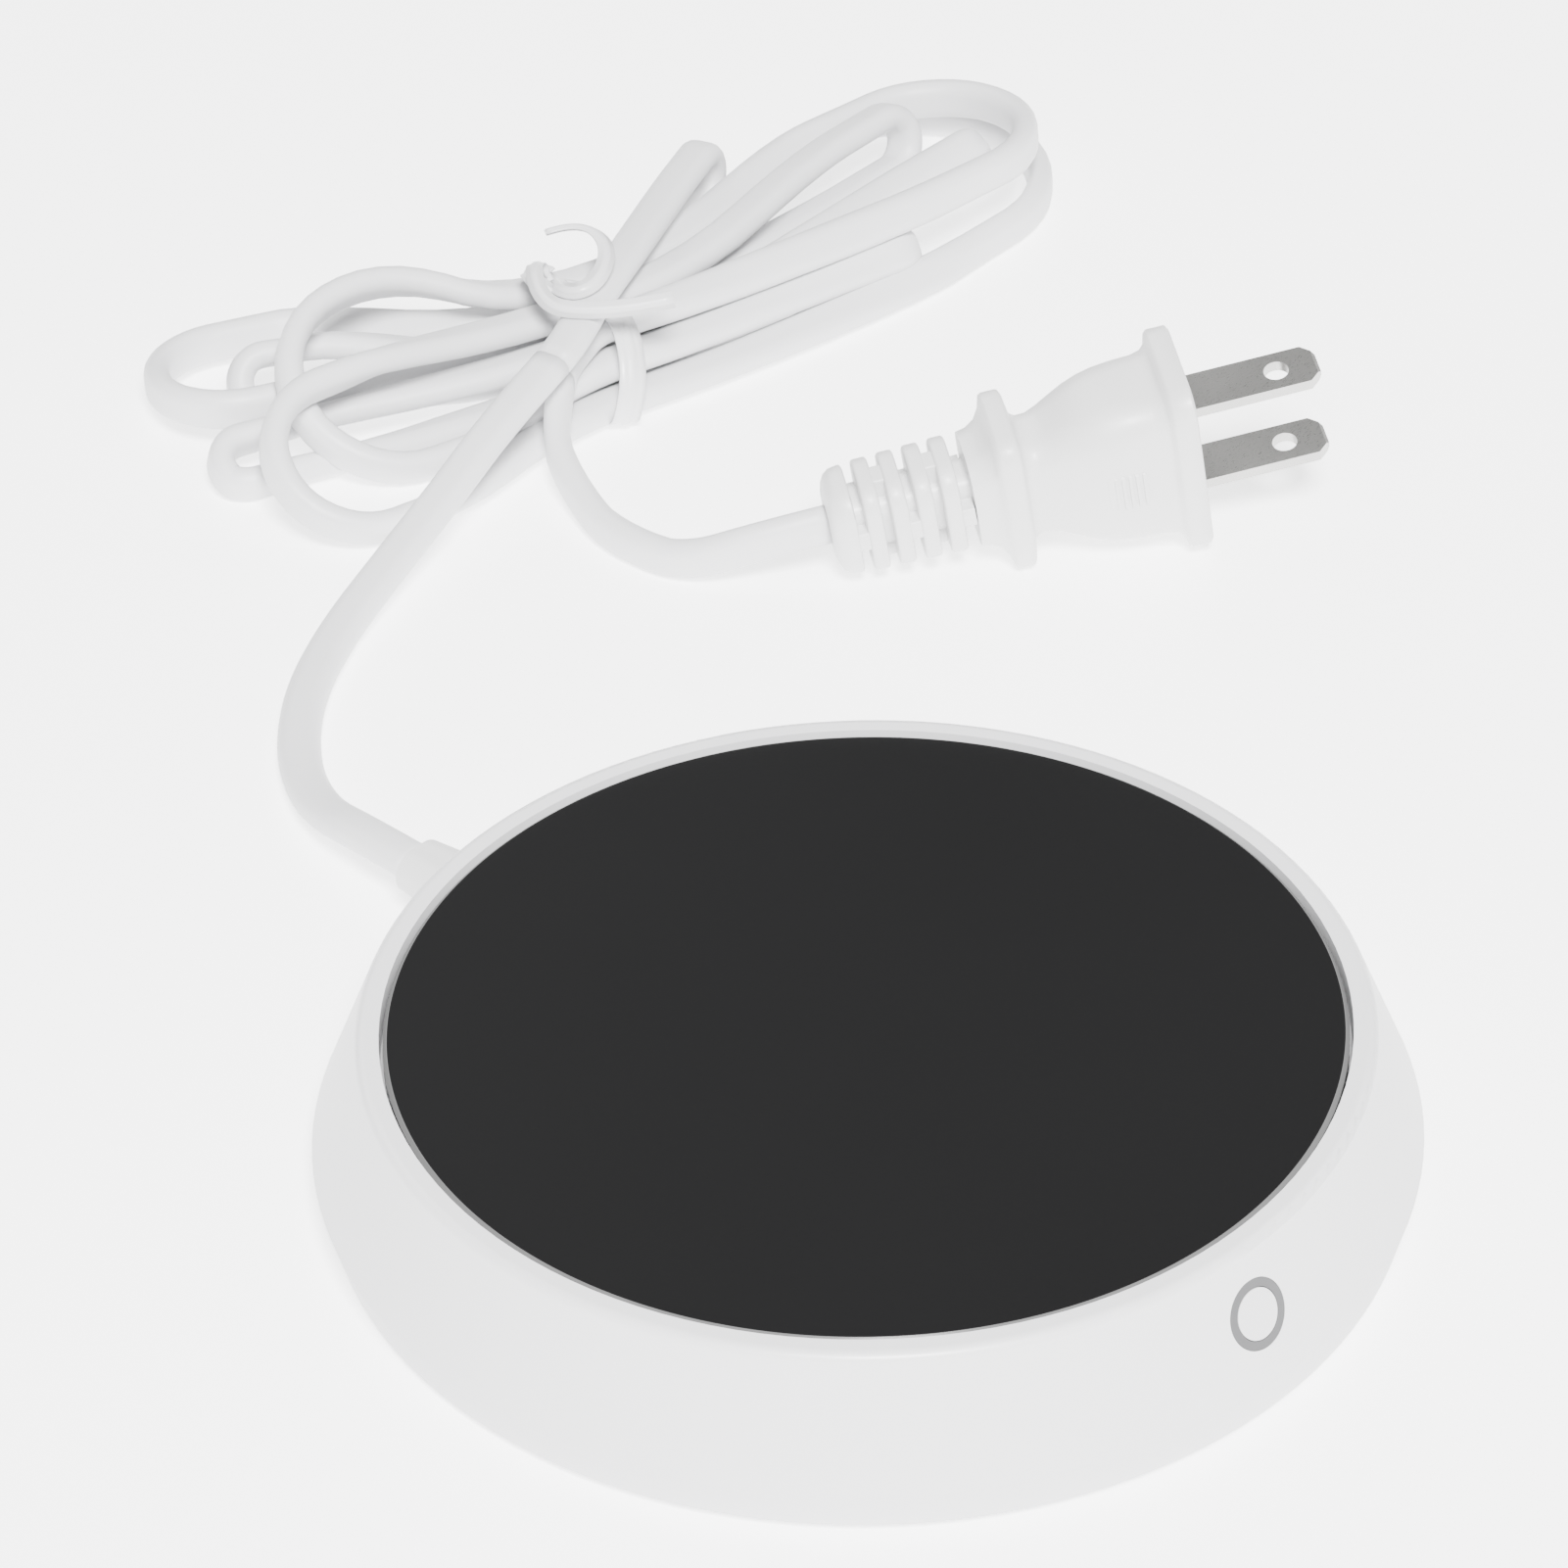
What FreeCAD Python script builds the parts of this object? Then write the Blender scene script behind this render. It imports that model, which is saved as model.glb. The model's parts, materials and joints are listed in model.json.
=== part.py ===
import FreeCAD, Part
import math
import os
import Sketcher
from FreeCAD import Placement, Rotation, Vector

# Electric mug warmer with its mains lead, drawn at real size in millimetres.
# Origin at the centre of the base, +Z up, the button towards -Y, the lead leaving towards +Y.

doc = FreeCAD.newDocument("MugWarmer")
sheet = doc.addObject("Spreadsheet::Sheet", "Dims")

DRIVING = {
    # housing
    "OverallHeight": 21.2,
    "CreaseRadius": 62.5,
    "CreaseHeight": 6.4,
    "RimSetback": 5.4,
    "RimWidth": 2.9,
    "RimDrop": 1.1,
    "RimRound": 1.3,
    "SkirtSetback": 1.4,
    "FootProud": 0.8,
    "WallThickness": 2.1,
    "FloorThickness": 2.0,
    "LipHeight": 2.0,
    "LipThickness": 1.4,
    "LipClearance": 0.25,
    # glass and heater stack
    "GlassGap": 0.4,
    "GlassRecess": 0.4,
    "GlassThickness": 3.0,
    "GlassChamfer": 0.4,
    "SealThickness": 0.5,
    "SealWidth": 2.6,
    "LedgeThickness": 1.5,
    "LedgeWidth": 4.0,
    "PlateSetback": 7.2,
    "PlateThickness": 1.5,
    "ElementSetback": 3.0,
    "ElementThickness": 0.8,
    "PadSetback": 1.0,
    "PadThickness": 2.0,
    "RetainerBorder": 1.0,
    "RetainerThickness": 0.8,
    "RetainerLugWidth": 9.0,
    "RetainerBossSetback": 9.3,
    "RetainerBossRadius": 2.6,
    "SensorRadius": 1.6,
    "CutoffRadius": 7.0,
    "CutoffHeight": 4.2,
    "CutoffOffset": 16.0,
    # screws, bosses and feet
    "BossSetback": 9.5,
    "BossRadius": 3.2,
    "PostRadius": 4.9,
    "ScrewShank": 1.45,
    "ScrewHead": 2.8,
    "ScrewHeadHeight": 1.7,
    "ScrewEngagement": 6.0,
    "HoleClearance": 0.2,
    "FootRadius": 4.5,
    "FootHeight": 2.0,
    "FootClearance": 0.1,
    "SmallScrewShank": 1.0,
    "SmallScrewHead": 1.9,
    "SmallScrewHeadHeight": 1.2,
    "SmallScrewLength": 4.0,
    # main board
    "BoardLength": 46.0,
    "BoardWidth": 32.0,
    "BoardThickness": 1.6,
    "BoardOffset": 20.0,
    "BoardStandoff": 2.6,
    "BoardHoleInset": 3.5,
    # button
    "ButtonHeight": 13.9,
    "RingRadius": 4.0,
    "RingBore": 3.0,
    "RingFlangeRadius": 5.2,
    "RingFlangeThickness": 0.8,
    "ButtonRadius": 2.9,
    "ButtonFlangeRadius": 3.8,
    "ButtonFlangeThickness": 0.9,
    "ButtonTravel": 0.5,
    "StemRadius": 1.4,
    "StemLength": 1.2,
    "SwitchSize": 6.0,
    "SwitchBodyHeight": 3.1,
    "SwitchPinRadius": 1.2,
    "SwitchPinProud": 0.9,
    "SwitchBoardWidth": 16.0,
    "SwitchBoardHeight": 9.0,
    "SwitchBoardThickness": 1.2,
    # lead, grommet, clamp
    "CordWidth": 5.4,
    "CordThickness": 3.45,
    "ExitAngle": 3.0,
    "ExitHeight": 6.4,
    "GrommetNeckWidth": 9.0,
    "GrommetNeckHeight": 6.6,
    "GrommetFlangeGrow": 1.2,
    "GrommetLength": 9.0,
    "GrommetSleeve": 3.8,
    "ClampSetback": 13.5,
    # plug
    "PlugFlangeHeight": 26.6,
    "PlugFlangeWidth": 17.2,
    "PlugFlangeThickness": 3.2,
    "PlugRearFlangeHeight": 22.0,
    "PlugRearFlangeWidth": 13.8,
    "PlugLength": 47.2,
    "BladeLength": 17.3,
    "BladeWidth": 6.35,
    "BladeThickness": 1.5,
    "BladeSpacing": 12.7,
    "BladeHoleRadius": 1.6,
    "BladeHoleDistance": 11.9,
}

# A size has its number for shapes that are worked out here and its cell formula for bound objects


class Size:
    def __init__(self, value, text):
        self.value = value
        self.text = text

    def __add__(self, other):
        other = as_size(other)
        return Size(self.value + other.value, f"({self.text} + {other.text})")

    def __sub__(self, other):
        other = as_size(other)
        return Size(self.value - other.value, f"({self.text} - {other.text})")

    def __mul__(self, other):
        other = as_size(other)
        return Size(self.value * other.value, f"({self.text} * {other.text})")

    def __truediv__(self, other):
        other = as_size(other)
        return Size(self.value / other.value, f"({self.text} / {other.text})")


def as_size(number):
    if isinstance(number, Size):
        return number
    return Size(float(number), f"({number})")


def driving(name):
    return Size(DRIVING[name], f"Dims.{name}")


for row, (alias, number) in enumerate(DRIVING.items(), start=1):
    sheet.set(f"A{row}", alias)
    sheet.set(f"B{row}", str(number))
    sheet.setAlias(f"B{row}", alias)
doc.recompute()

ZERO = as_size(0)
sub_parts = []


def keep(obj, label):
    obj.Label = label
    sub_parts.append(obj)
    return obj


def bind(obj, **sizes):
    for name, size in sizes.items():
        obj.setExpression(name, as_size(size).text)


def place(obj, x=ZERO, y=ZERO, z=ZERO, turn=None):
    if turn is not None:
        obj.Placement = Placement(Vector(), turn)
    for axis, size in zip("xyz", (x, y, z)):
        obj.setExpression(f"Placement.Base.{axis}", as_size(size).text)
    return obj


def polar(radius, angle):
    x = Size(radius.value * math.cos(math.radians(angle)), f"({radius.text} * cos({angle} deg))")
    y = Size(radius.value * math.sin(math.radians(angle)), f"({radius.text} * sin({angle} deg))")
    return x, y


def cylinder(name, radius, height, x=ZERO, y=ZERO, z=ZERO, turn=None):
    obj = doc.addObject("Part::Cylinder", name)
    bind(obj, Radius=radius, Height=height)
    return place(obj, x, y, z, turn)


def block(name, length, width, height, x=ZERO, y=ZERO, z=ZERO):
    # centred on x and y, standing on z
    obj = doc.addObject("Part::Box", name)
    bind(obj, Length=length, Width=width, Height=height)
    return place(obj, as_size(x) - as_size(length) / 2, as_size(y) - as_size(width) / 2, z)


def fuse(name, shapes):
    obj = doc.addObject("Part::MultiFuse", name)
    obj.Shapes = shapes
    obj.Refine = True
    return obj


def cut(name, base, tools):
    obj = doc.addObject("Part::Cut", name)
    obj.Base = base
    obj.Tool = tools[0] if len(tools) == 1 else fuse(name + "Tools", tools)
    return obj


def group(name, shapes):
    obj = doc.addObject("Part::Compound", name)
    obj.Links = shapes
    return obj


def revolved(name, outline):
    # a closed outline of radius and height sizes, turned about Z
    body = doc.addObject("PartDesign::Body", name)
    sketch = body.newObject("Sketcher::SketchObject", name + "Sketch")
    plane = [f for f in body.Origin.OriginFeatures if f.Role == "XZ_Plane"][0]
    sketch.AttachmentSupport = [(plane, "")]
    sketch.MapMode = "FlatFace"
    corners = [Vector(r.value, z.value, 0) for r, z in outline]
    count = len(corners)
    for i, corner in enumerate(corners):
        sketch.addGeometry(Part.LineSegment(corner, corners[(i + 1) % count]), False)
    for i in range(count):
        sketch.addConstraint(Sketcher.Constraint("Coincident", i, 2, (i + 1) % count, 1))
    for i, (radius, height) in enumerate(outline):
        for kind, size in (("DistanceX", radius), ("DistanceY", height)):
            mark = sketch.addConstraint(Sketcher.Constraint(kind, -1, 1, i, 1, size.value))
            if size is not ZERO:
                sketch.setExpression(f"Constraints[{mark}]", size.text)
    turned = body.newObject("PartDesign::Revolution", name + "Revolution")
    turned.Profile = sketch
    turned.ReferenceAxis = (sketch, ["V_Axis"])
    turned.Angle = 360.0
    body.Tip = turned
    doc.recompute()
    return body


def ring_edges(shape, radius, height):
    # names of the round edges of a radius at a height
    names = []
    for i, edge in enumerate(shape.Edges, start=1):
        curve = edge.Curve
        if not isinstance(curve, Part.Circle):
            continue
        if abs(curve.Radius - radius.value) < 1e-4 and abs(curve.Center.z - height.value) < 1e-4:
            names.append(f"Edge{i}")
    return names


def dress(body, kind, edges, size):
    dressed = body.Tip
    dressing = body.newObject(f"PartDesign::{kind}", f"{body.Name}{kind}")
    dressing.Base = (dressed, edges)
    dressing.setExpression("Radius" if kind == "Fillet" else "Size", as_size(size).text)
    body.Tip = dressing
    doc.recompute()


# Sizes that several pieces share

height = driving("OverallHeight")
crease_z = driving("CreaseHeight")
crease_radius = driving("CreaseRadius")
rim_outer = crease_radius - driving("RimSetback")
rim_inner = rim_outer - driving("RimWidth")
skirt_radius = crease_radius - driving("SkirtSetback")
boss_circle = crease_radius - driving("BossSetback")
retainer_boss_circle = crease_radius - driving("RetainerBossSetback")
rim_side_z = height - driving("RimDrop")
slope = driving("RimSetback") / (rim_side_z - crease_z)
wall = driving("WallThickness")
wall_across = wall * 1.075
ledge_radius = rim_inner - driving("LedgeWidth")
plate_radius = ledge_radius - driving("PlateSetback")
glass_top = height - driving("GlassRecess")
glass_bottom = glass_top - driving("GlassThickness")
seal_bottom = glass_bottom - driving("SealThickness")
ledge_bottom = seal_bottom - driving("LedgeThickness")
base_bottom = driving("FootProud")
floor_top = base_bottom + driving("FloorThickness")
plate_bottom = glass_bottom - driving("PlateThickness")
element_bottom = plate_bottom - driving("ElementThickness")
pad_bottom = element_bottom - driving("PadThickness")
retainer_bottom = pad_bottom - driving("RetainerThickness")


def slope_radius(z):
    return crease_radius - (as_size(z) - crease_z) * slope


rim_corner = slope_radius(height)
BOSS_ANGLES = (45, 135, 225, 315)
LUG_ANGLES = (0, 120, 240)

# Button axis: the outward normal of the sloping wall at the button

lean = math.atan(slope.value)
button_normal = Vector(0, -math.cos(lean), math.sin(lean))
button_across = Vector(1, 0, 0)
button_up = button_normal.cross(button_across)
button_radius_at = slope_radius(driving("ButtonHeight"))
button_point = Vector(0, -button_radius_at.value, DRIVING["ButtonHeight"])
button_turn = Rotation(button_across, button_up, button_normal, "ZXY")


def on_button(across, up, out):
    return button_point + button_across * across + button_up * up + button_normal * out


def button_cylinder(radius, out_from, out_to):
    return Part.makeCylinder(radius, out_to - out_from, on_button(0, 0, out_from), button_normal)


def button_block(width, tall, out_from, out_to, across=0.0, up=0.0):
    shape = Part.makeBox(width, tall, out_to - out_from)
    shape.Placement = Placement(on_button(across, up, out_from), button_turn)
    shape.translate(button_across * (-width / 2) + button_up * (-tall / 2))
    return shape


def feature(label, shape):
    obj = doc.addObject("Part::Feature", label)
    obj.Shape = shape
    obj.Placement = shape.Placement
    return keep(obj, label)


wall_in = -DRIVING["WallThickness"]
ring_flange_out = wall_in - 0.3
ring_back = ring_flange_out - DRIVING["RingFlangeThickness"]
cap_flange_out = ring_back - 0.1
cap_flange_back = cap_flange_out - DRIVING["ButtonFlangeThickness"]
stem_back = cap_flange_back - DRIVING["StemLength"]
switch_top = stem_back - DRIVING["SwitchPinProud"]
switch_back = switch_top - DRIVING["SwitchBodyHeight"]
switch_board_back = switch_back - DRIVING["SwitchBoardThickness"]

# Top shell: sloping wall, rounded rim, glass ledge, bosses and the switch rails

outline = [
    (crease_radius, crease_z),
    (rim_corner, height),
    (rim_inner, height),
    (rim_inner, seal_bottom),
    (ledge_radius, seal_bottom),
    (ledge_radius, ledge_bottom),
    (slope_radius(ledge_bottom) - wall_across, ledge_bottom),
    (slope_radius(crease_z) - wall_across, crease_z),
]
shell_body = revolved("ShellWall", outline)
dress(shell_body, "Fillet", ring_edges(shell_body.Shape, rim_corner, height), driving("RimRound"))

boss_top = ledge_bottom + 0.5
boss_bottom = crease_z + 0.2
shell_adds = [shell_body]
shell_cuts = []
for angle in BOSS_ANGLES:
    x, y = polar(boss_circle, angle)
    shell_adds.append(cylinder(f"ShellBoss{angle}", driving("BossRadius"), boss_top - boss_bottom, x, y, boss_bottom))
    pilot = driving("ScrewShank") + 0.02
    shell_cuts.append(cylinder(f"ShellPilot{angle}", pilot, driving("ScrewEngagement") + 0.5, x, y, boss_bottom))
for angle in LUG_ANGLES:
    x, y = polar(retainer_boss_circle, angle)
    shell_adds.append(
        cylinder(f"LugBoss{angle}", driving("RetainerBossRadius"), boss_top - pad_bottom, x, y, pad_bottom)
    )
    shell_cuts.append(
        cylinder(f"LugPilot{angle}", driving("SmallScrewShank") + 0.02, driving("SmallScrewLength"), x, y, pad_bottom)
    )

rail = doc.addObject("Part::Feature", "SwitchRails")
rail_half = DRIVING["SwitchBoardWidth"] / 2
rail_shape = None
for side in (-1, 1):
    rail_block = button_block(3.0, 8.6, switch_board_back - 1.2, wall_in + 0.8, side * rail_half, 0.0)
    rail_shape = rail_block if rail_shape is None else rail_shape.fuse(rail_block)
board_slot = button_block(
    DRIVING["SwitchBoardWidth"] + 0.2, 20.0, switch_board_back - 0.05, switch_back + 0.05
)
rail.Shape = rail_shape.cut(board_slot)
shell_adds.append(rail)

button_hole = doc.addObject("Part::Feature", "ButtonHole")
button_hole.Shape = button_cylinder(DRIVING["RingRadius"] + 0.05, wall_in - 1.5, 2.0)
flange_room = button_cylinder(
    DRIVING["RingFlangeRadius"] + 0.15, cap_flange_back - DRIVING["ButtonTravel"] - 0.3, ring_flange_out + 0.05
)
flange_pocket = doc.addObject("Part::Feature", "FlangePocket")
flange_pocket.Shape = flange_room
shell_cuts += [button_hole, flange_pocket]

exit_turn = Rotation(Vector(0, 0, 1), DRIVING["ExitAngle"])
exit_dir = exit_turn.multVec(Vector(0, 1, 0))
exit_z = DRIVING["ExitHeight"]


def on_exit(distance, across=0.0, up=0.0):
    side = exit_turn.multVec(Vector(1, 0, 0))
    return exit_dir * distance + side * across + Vector(0, 0, exit_z + up)


def exit_block(width, tall, start, end, rounding):
    # a bar along the lead's way out, with rounded long edges
    bar = Part.makeBox(width, end - start, tall, Vector(-width / 2, start, exit_z - tall / 2))
    long_edges = [e for e in bar.Edges if abs(e.tangentAt(e.FirstParameter).y) > 0.99]
    bar = bar.makeFillet(rounding, long_edges)
    bar.rotate(Vector(), Vector(0, 0, 1), DRIVING["ExitAngle"])
    return bar


neck_width = DRIVING["GrommetNeckWidth"]
neck_height = DRIVING["GrommetNeckHeight"]
exit_way = doc.addObject("Part::Feature", "ExitWay")
exit_way.Shape = exit_block(neck_width + 0.1, neck_height + 0.1, 52.0, 70.0, 2.0)
shell_cuts.append(exit_way)

shell = cut("TopShellCut", fuse("TopShellFused", shell_adds), shell_cuts)
keep(shell, "top_shell")

# Base cover: floor, flared skirt, locating lip, screw posts, board standoffs and vents

lip_outer = slope_radius(crease_z) - wall_across - driving("LipClearance")
lip_tip = slope_radius(crease_z + driving("LipHeight")) - wall_across - driving("LipClearance")
skirt_inner = lip_outer - driving("LipThickness")
outline = [
    (ZERO, base_bottom),
    (skirt_radius - 0.4, base_bottom),
    (skirt_radius, base_bottom + 0.4),
    (crease_radius, crease_z),
    (lip_outer, crease_z),
    (lip_tip, crease_z + driving("LipHeight")),
    (lip_tip - driving("LipThickness"), crease_z + driving("LipHeight")),
    (skirt_inner, crease_z),
    (skirt_inner, floor_top),
    (ZERO, floor_top),
]
base_body = revolved("BaseDish", outline)

counterbore_top = floor_top + 1.4
foot_recess_top = driving("FootHeight")
base_adds = [base_body]
base_cuts = []
for angle in BOSS_ANGLES:
    x, y = polar(boss_circle, angle)
    post_start = base_bottom + 1.3
    base_adds.append(cylinder(f"BasePost{angle}", driving("PostRadius"), boss_bottom - post_start, x, y, post_start))
    through = driving("ScrewShank") + driving("HoleClearance")
    base_cuts.append(cylinder(f"BaseHole{angle}", through, boss_bottom - base_bottom, x, y, base_bottom))
    bore = driving("ScrewHead") + driving("HoleClearance")
    base_cuts.append(cylinder(f"BaseBore{angle}", bore, counterbore_top - base_bottom, x, y, base_bottom))
    seat = driving("FootRadius") + driving("FootClearance")
    base_cuts.append(cylinder(f"FootSeat{angle}", seat, foot_recess_top, x, y, ZERO))

board_bottom = floor_top + driving("BoardStandoff")
board_y = ZERO - driving("BoardOffset")
board_corners = []
for side_x in (-1, 1):
    for side_y in (-1, 1):
        x = (driving("BoardLength") / 2 - driving("BoardHoleInset")) * side_x
        y = board_y + (driving("BoardWidth") / 2 - driving("BoardHoleInset")) * side_y
        board_corners.append((x, y))
for i, (x, y) in enumerate(board_corners):
    base_adds.append(cylinder(f"Standoff{i}", as_size(2.6), driving("BoardStandoff") + 0.5, x, y, floor_top - 0.5))
    base_cuts.append(
        cylinder(f"StandoffPilot{i}", driving("SmallScrewShank") + 0.02, driving("BoardStandoff"), x, y, floor_top)
    )

for step in range(6):
    slot = block(f"Vent{step}", as_size(2.0), as_size(16.0), driving("FloorThickness") + 1,
                 as_size(-15 + 6 * step), as_size(20), base_bottom - 0.5)
    base_cuts.append(slot)

clamp_r = crease_radius.value - DRIVING["ClampSetback"]
clamp_post_height = exit_z - DRIVING["CordThickness"] / 2
clamp_posts = doc.addObject("Part::Feature", "ClampPosts")
post_shapes = []
clamp_pilots = []
clamp_half_span = 6.4
for side in (-1, 1):
    foot = on_exit(clamp_r, side * clamp_half_span)
    foot.z = floor_top.value - 0.5
    post_shapes.append(Part.makeCylinder(2.6, exit_z - floor_top.value + 0.5, foot))
    pilot_foot = Vector(foot.x, foot.y, floor_top.value + 0.4)
    clamp_pilots.append(Part.makeCylinder(DRIVING["SmallScrewShank"] + 0.02, 8.0, pilot_foot))
saddle = Part.makeBox(
    DRIVING["CordWidth"] + 0.4, 5.0, clamp_post_height - floor_top.value + 0.5,
    Vector(-DRIVING["CordWidth"] / 2 - 0.2, clamp_r - 2.5, floor_top.value - 0.5),
)
saddle.rotate(Vector(), Vector(0, 0, 1), DRIVING["ExitAngle"])
clamp_posts.Shape = post_shapes[0].multiFuse([post_shapes[1], saddle])
base_adds.append(clamp_posts)
pilot_cut = doc.addObject("Part::Feature", "ClampPilots")
pilot_cut.Shape = Part.makeCompound(clamp_pilots)
base_exit = doc.addObject("Part::Feature", "BaseExitWay")
base_exit.Shape = exit_block(neck_width + 0.1, neck_height + 0.1, 52.0, 70.0, 2.0)
lip_pocket = doc.addObject("Part::Feature", "LipPocket")
lip_pocket.Shape = flange_room
base_cuts += [pilot_cut, base_exit, lip_pocket]

base = cut("BaseCut", fuse("BaseFused", base_adds), base_cuts)
keep(base, "base_cover")

# Glass top with its polished edge, and the seal that it sits on

glass_radius = rim_inner - driving("GlassGap")
glass = revolved("GlassPlate", [
    (ZERO, glass_bottom), (glass_radius, glass_bottom), (glass_radius, glass_top), (ZERO, glass_top),
])
dress(glass, "Chamfer", ring_edges(glass.Shape, glass_radius, glass_top), driving("GlassChamfer"))
keep(glass, "glass_plate")

seal_outer = glass_radius - 0.3
seal = revolved("GlassSeal", [
    (seal_outer - driving("SealWidth"), seal_bottom), (seal_outer, seal_bottom),
    (seal_outer, glass_bottom), (seal_outer - driving("SealWidth"), glass_bottom),
])
keep(seal, "glass_seal")

# Heater stack, pressed up against the glass by the retainer

sensor_hole = driving("SensorRadius") + 0.3
plate = cylinder("HeatPlate", plate_radius, driving("PlateThickness"), z=plate_bottom)
keep(plate, "heat_spreader_plate")

element = cut("HeatElement", cylinder("ElementDisc", plate_radius - driving("ElementSetback"), driving("ElementThickness"),
                                      z=element_bottom),
              [cylinder("ElementHole", sensor_hole, driving("ElementThickness"), z=element_bottom)])
keep(element, "heating_element")

pad = cut("InsulationPad", cylinder("PadDisc", plate_radius - driving("PadSetback"), driving("PadThickness"), z=pad_bottom),
          [cylinder("PadHole", sensor_hole, driving("PadThickness"), z=pad_bottom)])
keep(pad, "insulation_pad")

retainer_adds = [cylinder("RetainerDisc", plate_radius + driving("RetainerBorder"), driving("RetainerThickness"), z=retainer_bottom)]
retainer_cuts = [cylinder("RetainerHole", sensor_hole, driving("RetainerThickness"), z=retainer_bottom)]
lug_reach = retainer_boss_circle
for angle in LUG_ANGLES:
    turn = Rotation(Vector(0, 0, 1), angle)
    lug = doc.addObject("Part::Box", f"Lug{angle}")
    bind(lug, Length=lug_reach, Width=driving("RetainerLugWidth"), Height=driving("RetainerThickness"))
    half = driving("RetainerLugWidth") / 2
    place(lug, half * math.sin(math.radians(angle)), half * -math.cos(math.radians(angle)), retainer_bottom, turn)
    x, y = polar(retainer_boss_circle, angle)
    retainer_adds += [lug, cylinder(f"LugEnd{angle}", driving("RetainerBossRadius"), driving("RetainerThickness"),
                                    x, y, retainer_bottom)]
    retainer_cuts.append(cylinder(f"LugHole{angle}", driving("SmallScrewShank") + driving("HoleClearance"),
                                  driving("RetainerThickness"), x, y, retainer_bottom))
for angle in (60, 180, 300):
    x, y = polar(as_size(26), angle)
    retainer_cuts.append(cylinder(f"RetainerVent{angle}", as_size(8), driving("RetainerThickness"),
                                  x, y, retainer_bottom))
retainer = cut("Retainer", fuse("RetainerFused", retainer_adds), retainer_cuts)
keep(retainer, "heater_retainer")

sensor = fuse("Sensor", [
    cylinder("SensorBead", driving("SensorRadius"), plate_bottom - retainer_bottom, z=retainer_bottom),
    cylinder("SensorCap", driving("SensorRadius") + 1.0, as_size(1.0), z=retainer_bottom - 1.0),
])
keep(sensor, "temperature_sensor")

cutoff_y = driving("CutoffOffset")
cutoff = fuse("Cutoff", [
    cylinder("CutoffCan", driving("CutoffRadius"), driving("CutoffHeight") / 2, y=cutoff_y,
             z=retainer_bottom - driving("CutoffHeight") / 2),
    cylinder("CutoffBody", driving("CutoffRadius") - 0.8, driving("CutoffHeight") / 2, y=cutoff_y,
             z=retainer_bottom - driving("CutoffHeight")),
    block("CutoffTabs", as_size(20), as_size(4.8), as_size(0.8), y=cutoff_y,
          z=retainer_bottom - driving("CutoffHeight")),
])
keep(cutoff, "thermal_cutoff")

# Rubber feet, which cover the housing screws

for i, angle in enumerate(BOSS_ANGLES, start=1):
    x, y = polar(boss_circle, angle)
    foot = fuse(f"Foot{i}", [
        cylinder(f"FootPad{i}", driving("FootRadius"), driving("FootHeight") - 0.4, x, y, as_size(0.4)),
        cylinder(f"FootSole{i}", driving("FootRadius") - 0.5, as_size(0.4), x, y, ZERO),
    ])
    keep(foot, f"rubber_foot_{i}")


def screw_shape(name, shank, head, head_height, length, x, y, z, drive):
    # head below, shank rising from z, with a cross recess in the head
    stem = cylinder(name + "Shank", shank, as_size(length) + 0.0, x, y, z)
    top = cylinder(name + "Head", head, head_height, x, y, as_size(z) - head_height)
    solid = fuse(name + "Solid", [stem, top])
    recess = [
        block(name + "CrossA", drive, drive * 0.25, as_size(head_height) * 0.5, x, y, as_size(z) - head_height),
        block(name + "CrossB", drive * 0.25, drive, as_size(head_height) * 0.5, x, y, as_size(z) - head_height),
    ]
    return cut(name, solid, recess)


screws = []
for angle in BOSS_ANGLES:
    x, y = polar(boss_circle, angle)
    length = boss_bottom - counterbore_top + driving("ScrewEngagement")
    screws.append(screw_shape(f"HousingScrew{angle}", driving("ScrewShank"), driving("ScrewHead"),
                              driving("ScrewHeadHeight"), length, x, y, counterbore_top,
                              driving("ScrewHead") * 1.2))
keep(group("HousingScrews", screws), "housing_screws")

screws = []
for angle in LUG_ANGLES:
    x, y = polar(retainer_boss_circle, angle)
    length = driving("RetainerThickness") + driving("SmallScrewLength") - 0.8
    screws.append(screw_shape(f"LugScrew{angle}", driving("SmallScrewShank"), driving("SmallScrewHead"),
                              driving("SmallScrewHeadHeight"), length, x, y, retainer_bottom,
                              driving("SmallScrewHead") * 1.2))
keep(group("LugScrews", screws), "retainer_screws")

# Main board and what it carries

board_holes = []
for i, (x, y) in enumerate(board_corners):
    board_holes.append(cylinder(f"BoardHole{i}", driving("SmallScrewShank") + driving("HoleClearance"),
                                driving("BoardThickness"), x, y, board_bottom))
board = cut("MainBoard", block("BoardSheet", driving("BoardLength"), driving("BoardWidth"),
                               driving("BoardThickness"), y=board_y, z=board_bottom), board_holes)
keep(board, "circuit_board")
board_top = board_bottom + driving("BoardThickness")


def downward_screw(name, x, y, seat):
    stem = cylinder(name + "Shank", driving("SmallScrewShank"), driving("SmallScrewLength") - 0.4, x, y,
                    seat - driving("SmallScrewLength") + 0.4)
    head = cylinder(name + "Head", driving("SmallScrewHead"), driving("SmallScrewHeadHeight"), x, y, seat)
    drive = driving("SmallScrewHead") * 1.2
    top = seat + driving("SmallScrewHeadHeight") / 2
    recess = [
        block(name + "CrossA", drive, drive * 0.25, driving("SmallScrewHeadHeight") / 2, x, y, top),
        block(name + "CrossB", drive * 0.25, drive, driving("SmallScrewHeadHeight") / 2, x, y, top),
    ]
    return cut(name, fuse(name + "Solid", [stem, head]), recess)


screws = [downward_screw(f"BoardScrew{i}", x, y, board_top) for i, (x, y) in enumerate(board_corners)]
keep(group("BoardScrews", screws), "board_screws")

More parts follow.
